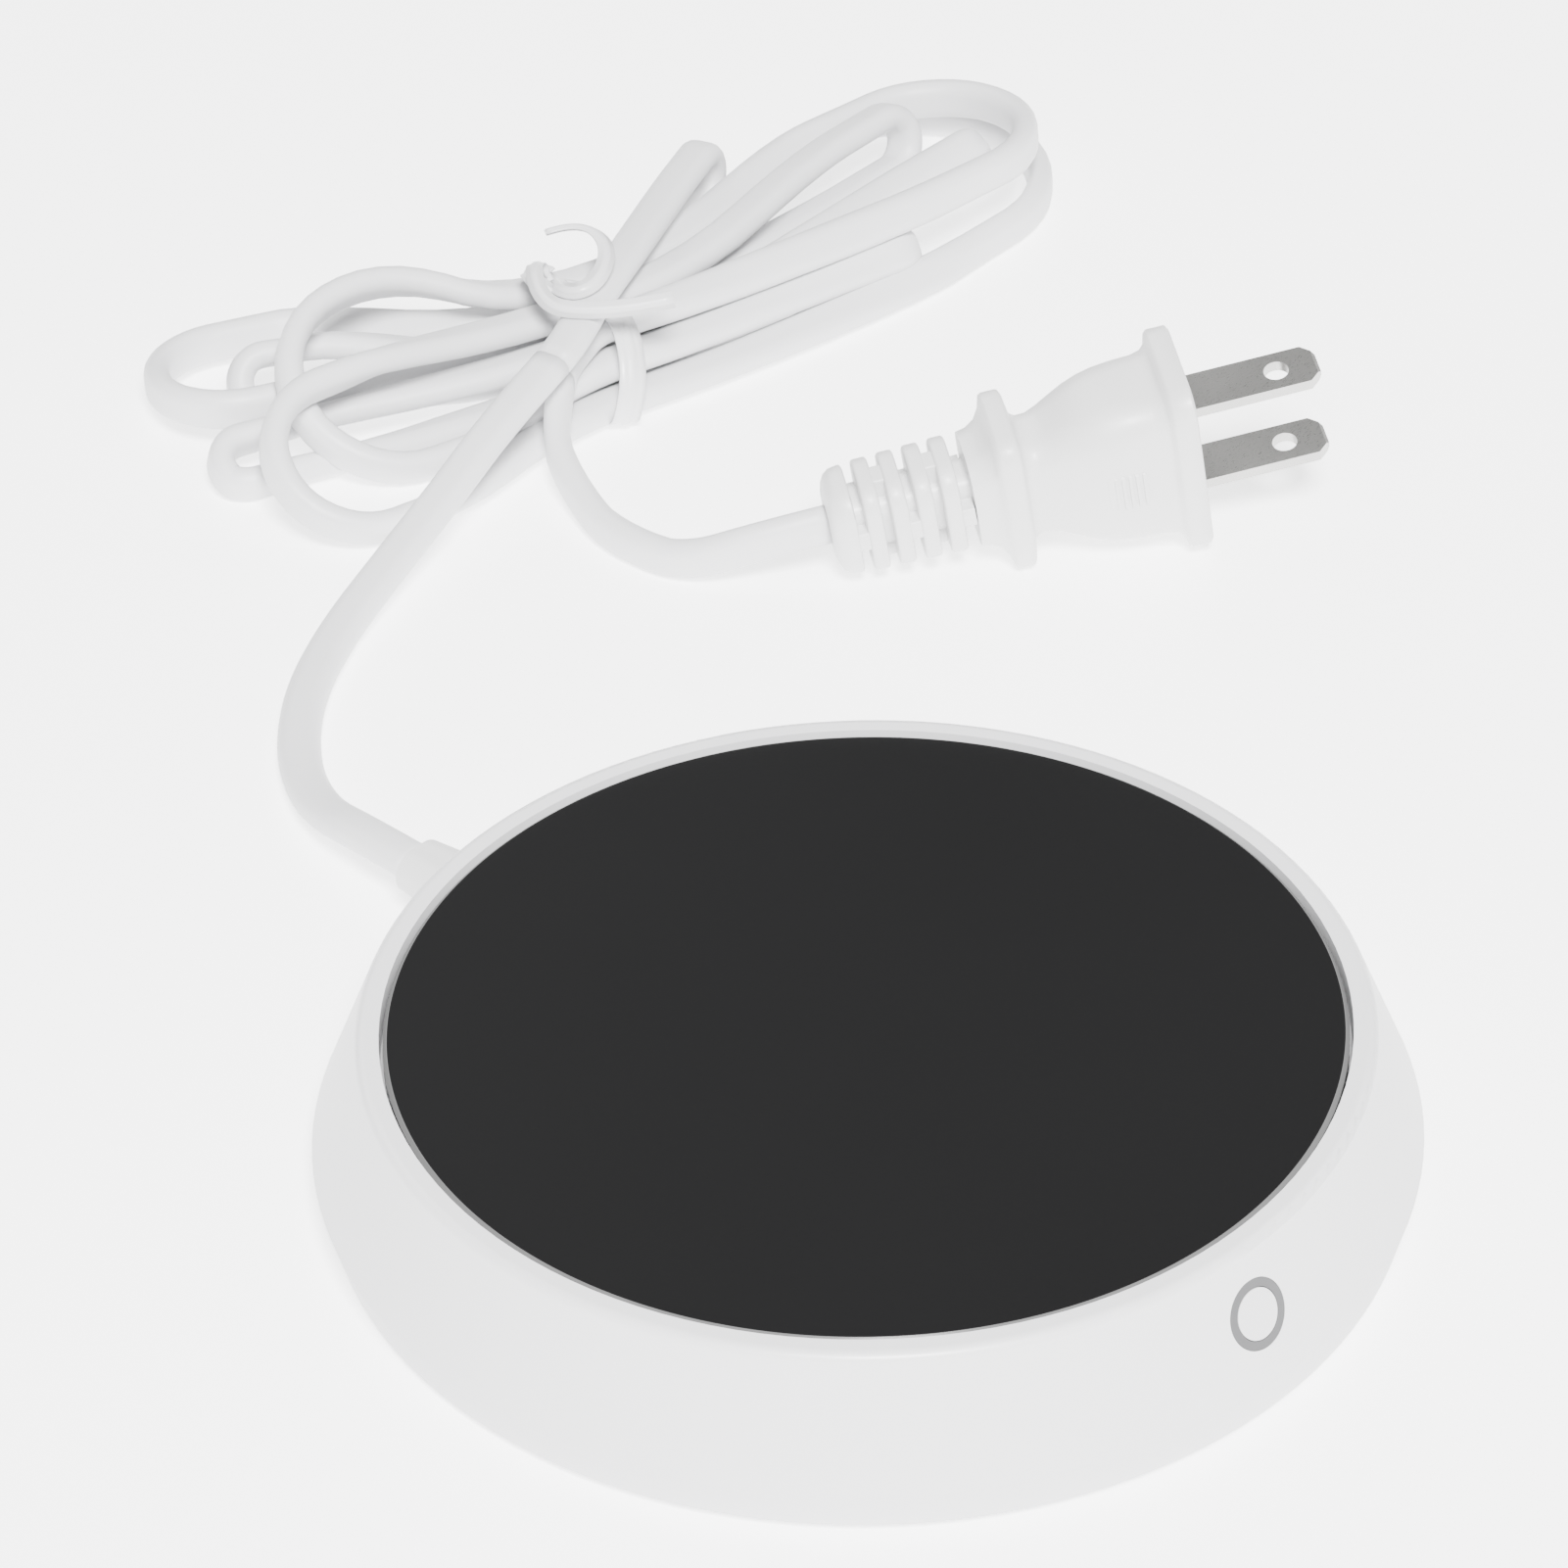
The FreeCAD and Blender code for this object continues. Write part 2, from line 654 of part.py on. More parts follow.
capacitor = block("FilmCapacitor", as_size(13), as_size(5.5), as_size(4.4), as_size(-10), board_y + 8, board_top)
keep(capacitor, "film_capacitor")
electrolytic = cylinder("Electrolytic", as_size(2.2), as_size(9), as_size(-16), board_y - 2, board_top + 2.2,
                        Rotation(Vector(0, 1, 0), 90))
keep(electrolytic, "electrolytic_capacitor")
triac = fuse("Triac", [
    block("TriacBody", as_size(10), as_size(9), as_size(4.2), as_size(9), board_y - 6, board_top),
    block("TriacTab", as_size(10), as_size(6), as_size(1.2), as_size(9), board_y - 1, board_top),
])
keep(triac, "heater_triac")
chip = block("ControlChip", as_size(5), as_size(4), as_size(1.5), as_size(-4), board_y - 8, board_top)
keep(chip, "control_chip")
terminal = cut("Terminal", block("TerminalBody", as_size(14), as_size(7), as_size(4.6), as_size(9), board_y + 8.5,
                                 board_top),
               [block(f"TerminalWay{i}", as_size(3), as_size(3), as_size(2.6), as_size(5 + 4 * i), board_y + 11,
                      board_top + 1.2) for i in range(3)])
keep(terminal, "terminal_block")

# Button, ring light, switch and its small board, set out along the button axis

slope_solid = Part.makeCone(
    crease_radius.value, rim_outer.value, rim_side_z.value - crease_z.value,
    Vector(0, 0, crease_z.value),
)
ring = button_cylinder(DRIVING["RingRadius"], ring_flange_out, 1.0)
ring = ring.common(slope_solid)
ring = ring.fuse(button_cylinder(DRIVING["RingFlangeRadius"], ring_back, ring_flange_out))
ring = ring.cut(button_cylinder(DRIVING["RingBore"], ring_back - 0.5, 1.5)).removeSplitter()
feature("light_ring", ring)

cap = button_cylinder(DRIVING["ButtonRadius"], cap_flange_out, 1.0).common(slope_solid)
cap = cap.fuse(button_cylinder(DRIVING["ButtonFlangeRadius"], cap_flange_back, cap_flange_out))
cap = cap.fuse(button_cylinder(DRIVING["StemRadius"], stem_back, cap_flange_back)).removeSplitter()
feature("button_cap", cap)

pin = button_cylinder(DRIVING["SwitchPinRadius"], switch_top - 0.4, stem_back)
feature("switch_plunger", pin)

switch_size = DRIVING["SwitchSize"]
switch_body = button_block(switch_size, switch_size, switch_back, switch_top)
pocket_depth = 0.4 + DRIVING["ButtonTravel"] + 0.3
pocket = button_cylinder(DRIVING["SwitchPinRadius"] + 0.1, switch_top - pocket_depth, switch_top + 0.5)
feature("tact_switch", switch_body.cut(pocket))

switch_board = button_block(
    DRIVING["SwitchBoardWidth"], DRIVING["SwitchBoardHeight"], switch_board_back, switch_back
)
feature("switch_board", switch_board)

led_shapes = [button_block(1.6, 3.0, switch_back, switch_back + 0.8, side * 4.8) for side in (-1, 1)]
feature("indicator_leds", Part.makeCompound(led_shapes))

# Grommet with a groove that grips the wall, tapering outwards along the lead

grow = DRIVING["GrommetFlangeGrow"]
wall_radius = slope_radius(as_size(exit_z)).value
wall_outer = wall_radius + 0.35
wall_inner = wall_radius - wall_across.value - 2.9
grommet_end = wall_outer + DRIVING["GrommetLength"]
cord_w = DRIVING["CordWidth"]
cord_t = DRIVING["CordThickness"]
cord_round = DRIVING["CordThickness"]


def oval_wire(width, tall, distance):
    # a stadium outline square to the lead's way out
    half = (width - tall) / 2
    r = tall / 2
    pts = [
        on_exit(distance, half, -r), on_exit(distance, half + r, 0), on_exit(distance, half, r),
        on_exit(distance, -half, r), on_exit(distance, -half - r, 0), on_exit(distance, -half, -r),
    ]
    return Part.Wire([
        Part.Arc(pts[0], pts[1], pts[2]).toShape(), Part.LineSegment(pts[2], pts[3]).toShape(),
        Part.Arc(pts[3], pts[4], pts[5]).toShape(), Part.LineSegment(pts[5], pts[0]).toShape(),
    ])


grommet = exit_block(neck_width, neck_height, wall_inner - 0.1, wall_outer + 0.1, 1.95)
grommet = grommet.fuse(exit_block(neck_width + 2 * grow, neck_height + 0.1, wall_inner - 1.6, wall_inner, 2.5))
grommet = grommet.fuse(exit_block(neck_width + 2 * grow, neck_height + 1.0, wall_outer, wall_outer + 1.5, 2.5))
sleeve_start = wall_inner - 1.6 - DRIVING["GrommetSleeve"]
grommet = grommet.fuse(Part.makeCylinder(
    cord_round / 2 + 1.2, DRIVING["GrommetSleeve"] + 0.1, on_exit(sleeve_start), exit_dir))
taper = Part.makeLoft(
    [oval_wire(neck_width + 0.6, neck_height - 0.2, wall_outer + 1.4),
     oval_wire(cord_w + 2.2, cord_t + 2.2, grommet_end)],
    True, True,
)
grommet = grommet.fuse(taper)
bore_shape = Part.makeCylinder(
    cord_round / 2 + 0.05, grommet_end - sleeve_start + 2, on_exit(sleeve_start - 1), exit_dir
)
feature("cord_grommet", grommet.cut(bore_shape).removeSplitter())

# Clamp bar that holds the lead down on its saddle, with two screws

inner_start = clamp_r - 6.0
bar = exit_block(2 * clamp_half_span + 5.2, 2.4, clamp_r - 2.4, clamp_r + 2.4, 0.6)
bar.translate(Vector(0, 0, cord_round / 2 + 0.05 + 1.2))
for side in (-1, 1):
    leg_foot = on_exit(clamp_r, side * clamp_half_span)
    leg = Part.makeCylinder(2.4, cord_round / 2 + 0.2, leg_foot)
    bar = bar.fuse(leg)
for side in (-1, 1):
    hole_foot = on_exit(clamp_r, side * clamp_half_span, -1)
    bar = bar.cut(Part.makeCylinder(DRIVING["SmallScrewShank"] + 0.2, 8.0, hole_foot))
feature("cord_clamp", bar.removeSplitter())

clamp_top = exit_z + cord_round / 2 + 0.05 + 2.4
screw_shapes = []
for side in (-1, 1):
    seat = on_exit(clamp_r, side * clamp_half_span)
    seat.z = clamp_top
    shank_length = clamp_top - floor_top.value - 0.8
    shank = Part.makeCylinder(DRIVING["SmallScrewShank"], shank_length, seat, Vector(0, 0, -1))
    head = Part.makeCylinder(DRIVING["SmallScrewHead"], 1.2, seat)
    cross = Part.makeBox(2.3, 0.5, 0.7, seat + Vector(-1.15, -0.25, 0.6))
    cross = cross.fuse(Part.makeBox(0.5, 2.3, 0.7, seat + Vector(-0.25, -1.15, 0.6)))
    screw_shapes.append(shank.fuse(head).cut(cross))
feature("clamp_screws", Part.makeCompound(screw_shapes))


# Paths: straight runs joined by tangent arcs


def rounded_route(points):
    # edges of the route, and the radius of each arc
    edges = []
    radii = []
    last = points[0]
    for before, corner, after in zip(points, points[1:], points[2:]):
        run_in = corner - before
        run_out = after - corner
        turn = run_in.getAngle(run_out)
        short = min(run_in.Length, run_out.Length)
        reach = 0.45 * short
        radii.append(reach / math.tan(turn / 2))
        start = corner - run_in.normalize() * reach
        end = corner + run_out.normalize() * reach
        middle_way = (start + end) * 0.5 - corner
        depth = radii[-1] / math.cos(turn / 2) - radii[-1]
        middle = corner + middle_way.normalize() * depth
        edges.append(Part.LineSegment(last, start).toShape())
        edges.append(Part.Arc(start, middle, end).toShape())
        last = end
    edges.append(Part.LineSegment(last, points[-1]).toShape())
    return edges, radii


def tube(edges, diameter, name):
    wire = Part.Wire(edges)
    first = edges[0]
    start = first.valueAt(first.FirstParameter)
    way = first.tangentAt(first.FirstParameter)
    ring_wire = Part.Wire([Part.makeCircle(diameter / 2, start, way)])
    solid = wire.makePipeShell([ring_wire], True, False)
    expected = math.pi * diameter * diameter / 4 * wire.Length
    print(f"{name}: length {wire.Length:.1f}, volume over section times length {solid.Volume / expected:.4f}")
    return solid


def routed_tube(name, points, diameter):
    edges, radii = rounded_route(points)
    print(f"{name}: arc radii " + ", ".join(f"{r:.1f}" for r in radii))
    return tube(edges, diameter, name)


# Lead inside the housing, from the grommet's mouth to the split, and its two cores

lead_mouth = on_exit(grommet_end)
inner_lead = Part.makeCylinder(cord_round / 2, grommet_end - inner_start, on_exit(inner_start), exit_dir)
feature("lead_inner_end", inner_lead)

terminal_y = board_y.value + 12.0
terminal_z = board_top.value + 2.3
core_diameter = 1.7
core_gap = 1.1
for name, side, way in (("live_core", -1, 5.0), ("neutral_core", 1, 9.0)):
    start = on_exit(inner_start, side * core_gap)
    route = [
        start, on_exit(inner_start - 8, side * core_gap),
        Vector(way + side * 2.0, 24.0, 6.3), Vector(way + side * 0.8, 10.0, 6.5),
        Vector(way, 0.5, terminal_z), Vector(way, terminal_y - 2.4, terminal_z),
    ]
    feature(name, routed_tube(name, route, core_diameter))

cutoff_tab_z = retainer_bottom.value - DRIVING["CutoffHeight"]
heater_wire = [
    Vector(13.0, terminal_y - 2.4, terminal_z), Vector(13.0, 2.0, terminal_z),
    Vector(12.4, 8.0, cutoff_tab_z - 1.0), Vector(9.2, DRIVING["CutoffOffset"] - 3.2, cutoff_tab_z - 0.9),
    Vector(9.0, DRIVING["CutoffOffset"] + 0.8, cutoff_tab_z - 0.85),
]
feature("heater_wire", routed_tube("heater_wire", heater_wire, core_diameter))

switch_wire = [
    Vector(-4.0, board_y.value - 10.3, board_top.value + 0.8),
    Vector(-4.0, board_y.value - 13.0, board_top.value + 0.9),
    Vector(-4.2, board_y.value - 16.5, board_top.value + 0.8),
    on_button(-4.4, -2.4, switch_board_back - 2.6),
    on_button(-4.5, -2.4, switch_board_back),
]
feature("switch_wire", routed_tube("switch_wire", switch_wire, 1.2))

# Mains lead lying behind the warmer, up to the hank

lead_points = [
    lead_mouth, on_exit(grommet_end + 9.0), Vector(-2.6, 91.5, 3.6), Vector(3.0, 102.0, 2.35),
    Vector(12.3, 111.6, 2.35), Vector(24.2, 118.8, 2.6), Vector(36.8, 122.8, 4.9),
    Vector(49.2, 125.9, 8.0), Vector(61.2, 128.9, 11.8),
]

# Hank: loops gathered at the tie. Each end is a half turn, and each run goes through a place at the tie.

hank_centre = Vector(88.0, 139.7, 0.0)
hank_angle = -13.0
strand_pitch = 5.5
strand_rows = {"a": 2.6, "b": 6.7, "c": 10.8}
strand_places = {
    "a1": -1.5, "a2": -0.5, "a3": 0.5, "a4": 1.5,
    "b1": -1.0, "b2": 0.0, "b3": 1.0, "b4": 2.0,
    "c1": -0.5, "c2": 0.5, "c3": 1.5,
}
# first place, second place, centre x and y from the tie, centre height, way out, radius, lean of the half turn
hank_ends = [
    ("d", "b4", 31.8, 14.1, 11.4, 24, 3.8, 91),
    ("b4", "b3", -36.5, 30.4, 5.1, 155, 10.3, -7),
    ("b3", "c2", 60.9, 7.2, 7.5, 4, 3.8, -106),
    ("c2", "a1", -41.0, 0.8, 8.5, 171, 10.9, 31),
    ("a1", "a4", 61.5, 2.8, 2.1, 3, 17.6, 180),
    ("a4", "a3", -34.9, 25.7, 5.2, 151, 3.7, 52),
    ("a3", "b2", 66.1, -0.6, 5.2, 2, 3.8, -58),
    ("b2", "a2", -47.6, 14.8, 3.6, 163, 3.7, 26),
    ("a2", "b1", 43.0, -9.6, 4.5, -10, 3.9, -35),
    ("b1", "c3", -26.6, 10.2, 9.2, 170, 13.7, 210),
    ("c3", "c1", 62.2, -0.1, 10.4, -3, 13.1, -6),
]


def flat_way(angle):
    return Vector(math.cos(math.radians(angle)), math.sin(math.radians(angle)), 0)


hank_way = flat_way(hank_angle)
hank_side = flat_way(hank_angle + 90)


def at_tie(place_name):
    across = strand_places[place_name] * strand_pitch
    return hank_centre + hank_side * across + Vector(0, 0, strand_rows[place_name[0]])


def hank_nodes():
    # points of the hank with the way that the cord runs there
    over = (flat_way(14) + Vector(0, 0, 0.2)).normalize()
    nodes = [(hank_centre + Vector(-15, -8.2, 14.2), over)]
    nodes.append((hank_centre + Vector(1.5, -0.5, 15.4), flat_way(25)))
    for first, second, x, y, z, angle, radius, tilt in hank_ends:
        way = flat_way(angle)
        right_hand = 1 if way.x > 0 else -1
        far = Vector(-way.y, way.x, 0) * right_hand
        lean_way = far * math.cos(math.radians(tilt)) + Vector(0, 0, math.sin(math.radians(tilt)))
        centre = hank_centre + Vector(x, y, z)
        nodes.append((centre + lean_way * radius, way))
        nodes.append((centre + way * radius, lean_way * -1))
        nodes.append((centre - lean_way * radius, way * -1))
        nodes.append((at_tie(second), hank_way * -right_hand))
    nodes.append((hank_centre + Vector(-12, -6.5, 9.0), Vector(-0.75, -0.6, -0.28).normalize()))
    return nodes


def biarc_joint(p0, t0, p1, t1):
    chord = p1 - p0
    both = t0 + t1
    spread = 2 * (1 - t0.dot(t1))
    if spread < 1e-9:
        reach = chord.dot(chord) / (4 * chord.dot(t1))
    else:
        reach = (math.sqrt(chord.dot(both) ** 2 + spread * chord.dot(chord)) - chord.dot(both)) / spread
    return (p0 + p1 + (t0 - t1) * reach) * 0.5


def tangent_arc(start, way, end):
    # edge from start along way to end, and its radius
    chord = end - start
    half = chord.Length / 2
    along = Vector(chord).normalize()
    angle = way.getAngle(along)
    if angle < 1e-4:
        return Part.LineSegment(start, end).toShape(), 1e6
    side = (way - along * way.dot(along)).normalize()
    middle = (start + end) * 0.5 + side * (half * math.tan(angle / 2))
    return Part.Arc(start, middle, end).toShape(), half / math.sin(angle)


def biarc_edges(nodes):
    edges = []
    radii = []
    for (p0, t0), (p1, t1) in zip(nodes, nodes[1:]):
        joint = biarc_joint(p0, t0, p1, t1)
        first, first_radius = tangent_arc(p0, t0, joint)
        second, second_radius = tangent_arc(joint, first.tangentAt(first.LastParameter), p1)
        edges += [first, second]
        radii += [first_radius, second_radius]
    return edges, radii


def least_gap(edges, diameter, step=1.5):
    # least distance between stretches that aren't neighbours, less the diameter
    stretches = [e.discretize(max(3, int(e.Length / step))) for e in edges]
    least = 1e9
    for i, first in enumerate(stretches):
        for second in stretches[i + 3:]:
            for p in first:
                for q in second:
                    least = min(least, p.distanceToPoint(q))
    return least - diameter


nodes = hank_nodes()
hank_edges, hank_radii = biarc_edges(nodes)
print(f"hank: tightest radius {min(hank_radii):.2f}, least gap {least_gap(hank_edges, cord_round):.2f}")
feature("cord_hank", tube(hank_edges, cord_round, "hank"))
lead_points.append(nodes[0][0])
feature("cord_lead", routed_tube("cord_lead", lead_points, cord_round))

# Plug: set out along its own axis, then laid on the floor

plug_front = Vector(117.0, 60.1, 15.35)
plug_way = Vector(0.8205, -0.5507, 0.153).normalize()
plug_spread = Vector(-0.2546, -0.0282, 0.966)
plug_spread = (plug_spread - plug_way * plug_spread.dot(plug_way)).normalize()
plug_side = plug_spread.cross(plug_way)
plug_placement = Placement(plug_front, Rotation(plug_way, plug_side, plug_spread, "XZY"))
plug_length = DRIVING["PlugLength"]


def plug_section(tall, wide, rounding, x):
    # rounded outline square to the plug's axis
    wire = Part.makePolygon([
        Vector(x, -wide / 2, -tall / 2), Vector(x, wide / 2, -tall / 2), Vector(x, wide / 2, tall / 2),
        Vector(x, -wide / 2, tall / 2), Vector(x, -wide / 2, -tall / 2),
    ])
    face = Part.Face(wire)
    solid = face.extrude(Vector(1, 0, 0))
    edges = [e for e in solid.Edges if abs(e.tangentAt(e.FirstParameter).x) > 0.99]
    rounded = solid.makeFillet(rounding, edges)
    caps = [f for f in rounded.Faces if abs(f.CenterOfMass.x - x) < 1e-6]
    return caps[0].OuterWire


def plug_bar(tall, wide, rounding, x_from, x_to):
    wire = plug_section(tall, wide, rounding, x_from)
    return Part.Face(wire).extrude(Vector(x_to - x_from, 0, 0))


def plug_loft(sections, ruled=False):
    return Part.makeLoft([plug_section(*section) for section in sections], True, ruled)


flange_h = DRIVING["PlugFlangeHeight"]
flange_w = DRIVING["PlugFlangeWidth"]
flange_t = DRIVING["PlugFlangeThickness"]
rear_h = DRIVING["PlugRearFlangeHeight"]
rear_w = DRIVING["PlugRearFlangeWidth"]
plug = plug_bar(flange_h, flange_w, 3.4, -flange_t, 0)
plug = plug.fuse(plug_loft([
    (22.6, 14.8, 4.2, -flange_t + 0.05), (22.6, 14.8, 4.2, -10.6), (21.4, 14.0, 4.0, -13.4),
    (18.4, 12.4, 3.8, -16.6), (15.0, 10.8, 3.6, -19.6),
], True))
plug = plug.fuse(plug_bar(14.8, 10.6, 3.6, -22.6, -19.5))
plug = plug.fuse(plug_bar(rear_h, rear_w, 3.0, -25.4, -22.4))
plug = plug.fuse(plug_loft([
    (14.4, 11.0, 3.6, -25.3), (13.8, 10.4, 3.6, -plug_length),
], True))
slot_width = 1.2
slot_pitch = 3.35
core_h = 8.2
core_w = 6.2
for i in range(5):
    slot_front = -29.4 - slot_pitch * i
    tool = Part.makeBox(slot_width, 20, 20, Vector(slot_front - slot_width, -10, -10))
    core = plug_bar(core_h, core_w, 2.2, slot_front - slot_width - 0.1, slot_front + 0.1)
    web_side = 1 if i % 2 == 0 else -1
    web = Part.makeBox(slot_width + 0.2, 20, 3.0, Vector(slot_front - slot_width - 0.1, -10, -1.5))
    if web_side < 0:
        web = Part.makeBox(slot_width + 0.2, 3.0, 20, Vector(slot_front - slot_width - 0.1, -1.5, -10))
    plug = plug.cut(tool.cut(core).cut(web))
for side in (-1, 1):
    for i in range(5):
        groove = Part.makeBox(0.5, 0.4, 6.4, Vector(-7.0 - 0.9 * i, side * 7.4 - 0.2, -3.2))
        plug = plug.cut(groove)
blade_shift = DRIVING["BladeSpacing"] / 2
blade_t = DRIVING["BladeThickness"]
blade_w = DRIVING["BladeWidth"]
blade_l = DRIVING["BladeLength"]
blade_root = 9.0
for side in (-1, 1):
    plug = plug.cut(Part.makeBox(
        blade_root, blade_w, blade_t, Vector(-blade_root, -blade_w / 2, side * blade_shift - blade_t / 2)))
plug = plug.removeSplitter()
plug.Placement = plug_placement
feature("plug_body", plug)

for i, side in enumerate((1, -1), start=1):
    z0 = side * blade_shift - blade_t / 2
    outline_points = [
        Vector(-blade_root, -blade_w / 2, z0), Vector(blade_l - 1.6, -blade_w / 2, z0),
        Vector(blade_l, -blade_w / 2 + 1.6, z0), Vector(blade_l, blade_w / 2 - 1.6, z0),
        Vector(blade_l - 1.6, blade_w / 2, z0), Vector(-blade_root, blade_w / 2, z0),
        Vector(-blade_root, -blade_w / 2, z0),
    ]
    blade = Part.Face(Part.makePolygon(outline_points)).extrude(Vector(0, 0, blade_t))
    tip_edges = [e for e in blade.Edges if e.CenterOfMass.x > blade_l - 0.1 and e.Length > 2.0]
    blade = blade.makeChamfer(0.45, tip_edges)
    hole_foot = Vector(DRIVING["BladeHoleDistance"], 0, z0 - 1)
    blade = blade.cut(Part.makeCylinder(DRIVING["BladeHoleRadius"], blade_t + 2, hole_foot))
    blade.Placement = plug_placement
    feature(f"plug_blade_{i}", blade)

# Tail from the hank round to the plug

plug_mouth = plug_placement.multVec(Vector(-plug_length, 0, 0))
tail_start, tail_way = nodes[-1]
tail_points = [
    tail_start, tail_start + tail_way * 9.0, Vector(65.6, 120.4, 4.1), Vector(62.6, 109.5, 1.9),
    Vector(64.4, 98.6, 2.3), plug_mouth - plug_way * 8.6, plug_mouth,
]
feature("cord_tail", routed_tube("cord_tail", tail_points, cord_round))

# Twist tie round the gathered strands, with its twisted knot and two free ends

tie_width = 4.0
tie_thickness = 0.5


def tie_point(across, up, along=0.0):
    return hank_centre + hank_side * across + hank_way * along + Vector(0, 0, up)


tie_outline = [(-11.6, 1.8), (-8.0, 0.6), (8.6, 0.6), (12.6, 2.8), (14.6, 7.2), (11.6, 12.65), (-4.6, 12.65),
               (-8.4, 10.2)]


def tie_band(grow_by):
    centre = Vector(1.5, 9.0, 0)
    corners = []
    for across, up in tie_outline:
        away = Vector(across, up, 0) - centre
        away.multiply(1 + grow_by / away.Length)
        corners.append(tie_point(centre.x + away.x, centre.y + away.y, -tie_width / 2))
    wire = Part.makePolygon(corners + [corners[0]])
    return Part.Face(wire).extrude(hank_way * tie_width)


tie = tie_band(tie_thickness).cut(tie_band(0.0))
feature("twist_tie", tie)

# Check every object, then write each sub-part

doc.recompute()
for obj in doc.Objects:
    if "Invalid" in obj.State or "Error" in obj.State:
        raise RuntimeError(f"{obj.Name} failed: {obj.State}")
for obj in sub_parts:
    if obj.Shape.isNull() or not obj.Shape.isValid():
        raise RuntimeError(f"{obj.Label} has no valid shape")
os.makedirs("parts", exist_ok=True)
for obj in sub_parts:
    obj.Shape.exportStep(f"parts/{obj.Label}.step")
print(len(sub_parts), "sub-parts")
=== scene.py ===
import json
import math
import bpy
import bmesh
from mathutils import Matrix, Vector


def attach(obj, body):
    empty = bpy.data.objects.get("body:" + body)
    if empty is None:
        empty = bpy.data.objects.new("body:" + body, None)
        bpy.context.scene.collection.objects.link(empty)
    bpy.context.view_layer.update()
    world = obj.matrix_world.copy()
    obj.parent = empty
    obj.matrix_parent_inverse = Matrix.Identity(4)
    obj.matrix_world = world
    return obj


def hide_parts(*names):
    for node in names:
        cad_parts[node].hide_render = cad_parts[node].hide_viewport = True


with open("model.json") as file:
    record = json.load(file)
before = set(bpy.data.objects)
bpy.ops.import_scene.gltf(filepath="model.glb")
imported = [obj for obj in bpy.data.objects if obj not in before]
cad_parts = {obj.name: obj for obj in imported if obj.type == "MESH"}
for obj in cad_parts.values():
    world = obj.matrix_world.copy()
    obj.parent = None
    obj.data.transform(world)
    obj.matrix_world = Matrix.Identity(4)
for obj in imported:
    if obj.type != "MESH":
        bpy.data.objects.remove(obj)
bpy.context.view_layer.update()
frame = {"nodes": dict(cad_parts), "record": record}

nodes = frame["nodes"]
mm = 0.001
upward = Vector((0, 0, 1))
print("frame loaded:", len(nodes), "nodes")

# camera

viewpoint = {
    "place": (-0.4129, -0.4267, 0.4944),
    "looking": (0.5502, 0.5849, -0.5959),
    "roll": 1.48,
    "lens": 156.55,
}


def addCamera():
    data = bpy.data.cameras.new("camera")
    data.sensor_width = 36.0
    data.lens = viewpoint["lens"]
    data.clip_start = 0.01
    data.clip_end = 20.0
    eye = bpy.data.objects.new("camera", data)
    bpy.context.scene.collection.objects.link(eye)
    forward = Vector(viewpoint["looking"]).normalized()
    right = forward.cross(upward).normalized()
    above = right.cross(forward)
    c = math.cos(math.radians(viewpoint["roll"]))
    s = math.sin(math.radians(viewpoint["roll"]))
    columns = (right * c - above * s, right * s + above * c, forward * -1)
    eye.matrix_world = Matrix.Translation(viewpoint["place"]) @ Matrix(columns).transposed().to_4x4()
    bpy.context.scene.camera = eye


addCamera()
print("camera set")

# meshes that follow a path


def linkPiece(name, mesh, smooth=True):
    for face in mesh.polygons:
        face.use_smooth = smooth
    piece = bpy.data.objects.new(name, mesh)
    bpy.context.scene.collection.objects.link(piece)
    return piece


def addMesh(name, points, faces, smooth=True):
    mesh = bpy.data.meshes.new(name)
    mesh.from_pydata([tuple(p) for p in points], [], faces)
    work = bmesh.new()
    work.from_mesh(mesh)
    bmesh.ops.recalc_face_normals(work, faces=work.faces)
    work.to_mesh(mesh)
    work.free()
    return linkPiece(name, mesh, smooth)


def ringFaces(rows, count):
    # quads between rows of points, with a cap at each end
    faces = []
    for i in range(rows - 1):
        for j in range(count):
            k = (j + 1) % count
            faces.append((i * count + j, i * count + k, (i + 1) * count + k, (i + 1) * count + j))
    last = (rows - 1) * count
    faces.append(tuple(reversed(range(count))))
    faces.append(tuple(last + j for j in range(count)))
    return faces


def readSpline(points, fineness):
    # points along a smooth open spline with these control points
    leastStep = 0.05 * mm
    curve = bpy.data.curves.new("route", "CURVE")
    curve.dimensions = "3D"
    curve.resolution_u = fineness
    spline = curve.splines.new("NURBS")
    spline.points.add(len(points) - 1)
    for slot, point in zip(spline.points, points):
        slot.co = (point[0], point[1], point[2], 1)
    spline.order_u = 3
    spline.use_endpoint_u = True
    holder = bpy.data.objects.new("route", curve)
    bpy.context.scene.collection.objects.link(holder)
    bpy.context.view_layer.update()
    mesh = bpy.data.meshes.new_from_object(holder.evaluated_get(bpy.context.evaluated_depsgraph_get()))
    line = [v.co.copy() for v in mesh.vertices]
    bpy.data.meshes.remove(mesh)
    bpy.data.objects.remove(holder)
    bpy.data.curves.remove(curve)
    kept = [line[0]]
    for point in line[1:]:
        if (point - kept[-1]).length > leastStep:
            kept.append(point)
    return kept


def pathLength(line):
    return sum((b - a).length for a, b in zip(line, line[1:]))


def tangents(line):
    ways = []
    for i in range(len(line)):
        before = line[max(i - 1, 0)]
        after = line[min(i + 1, len(line) - 1)]
        ways.append((after - before).normalized())
    return ways


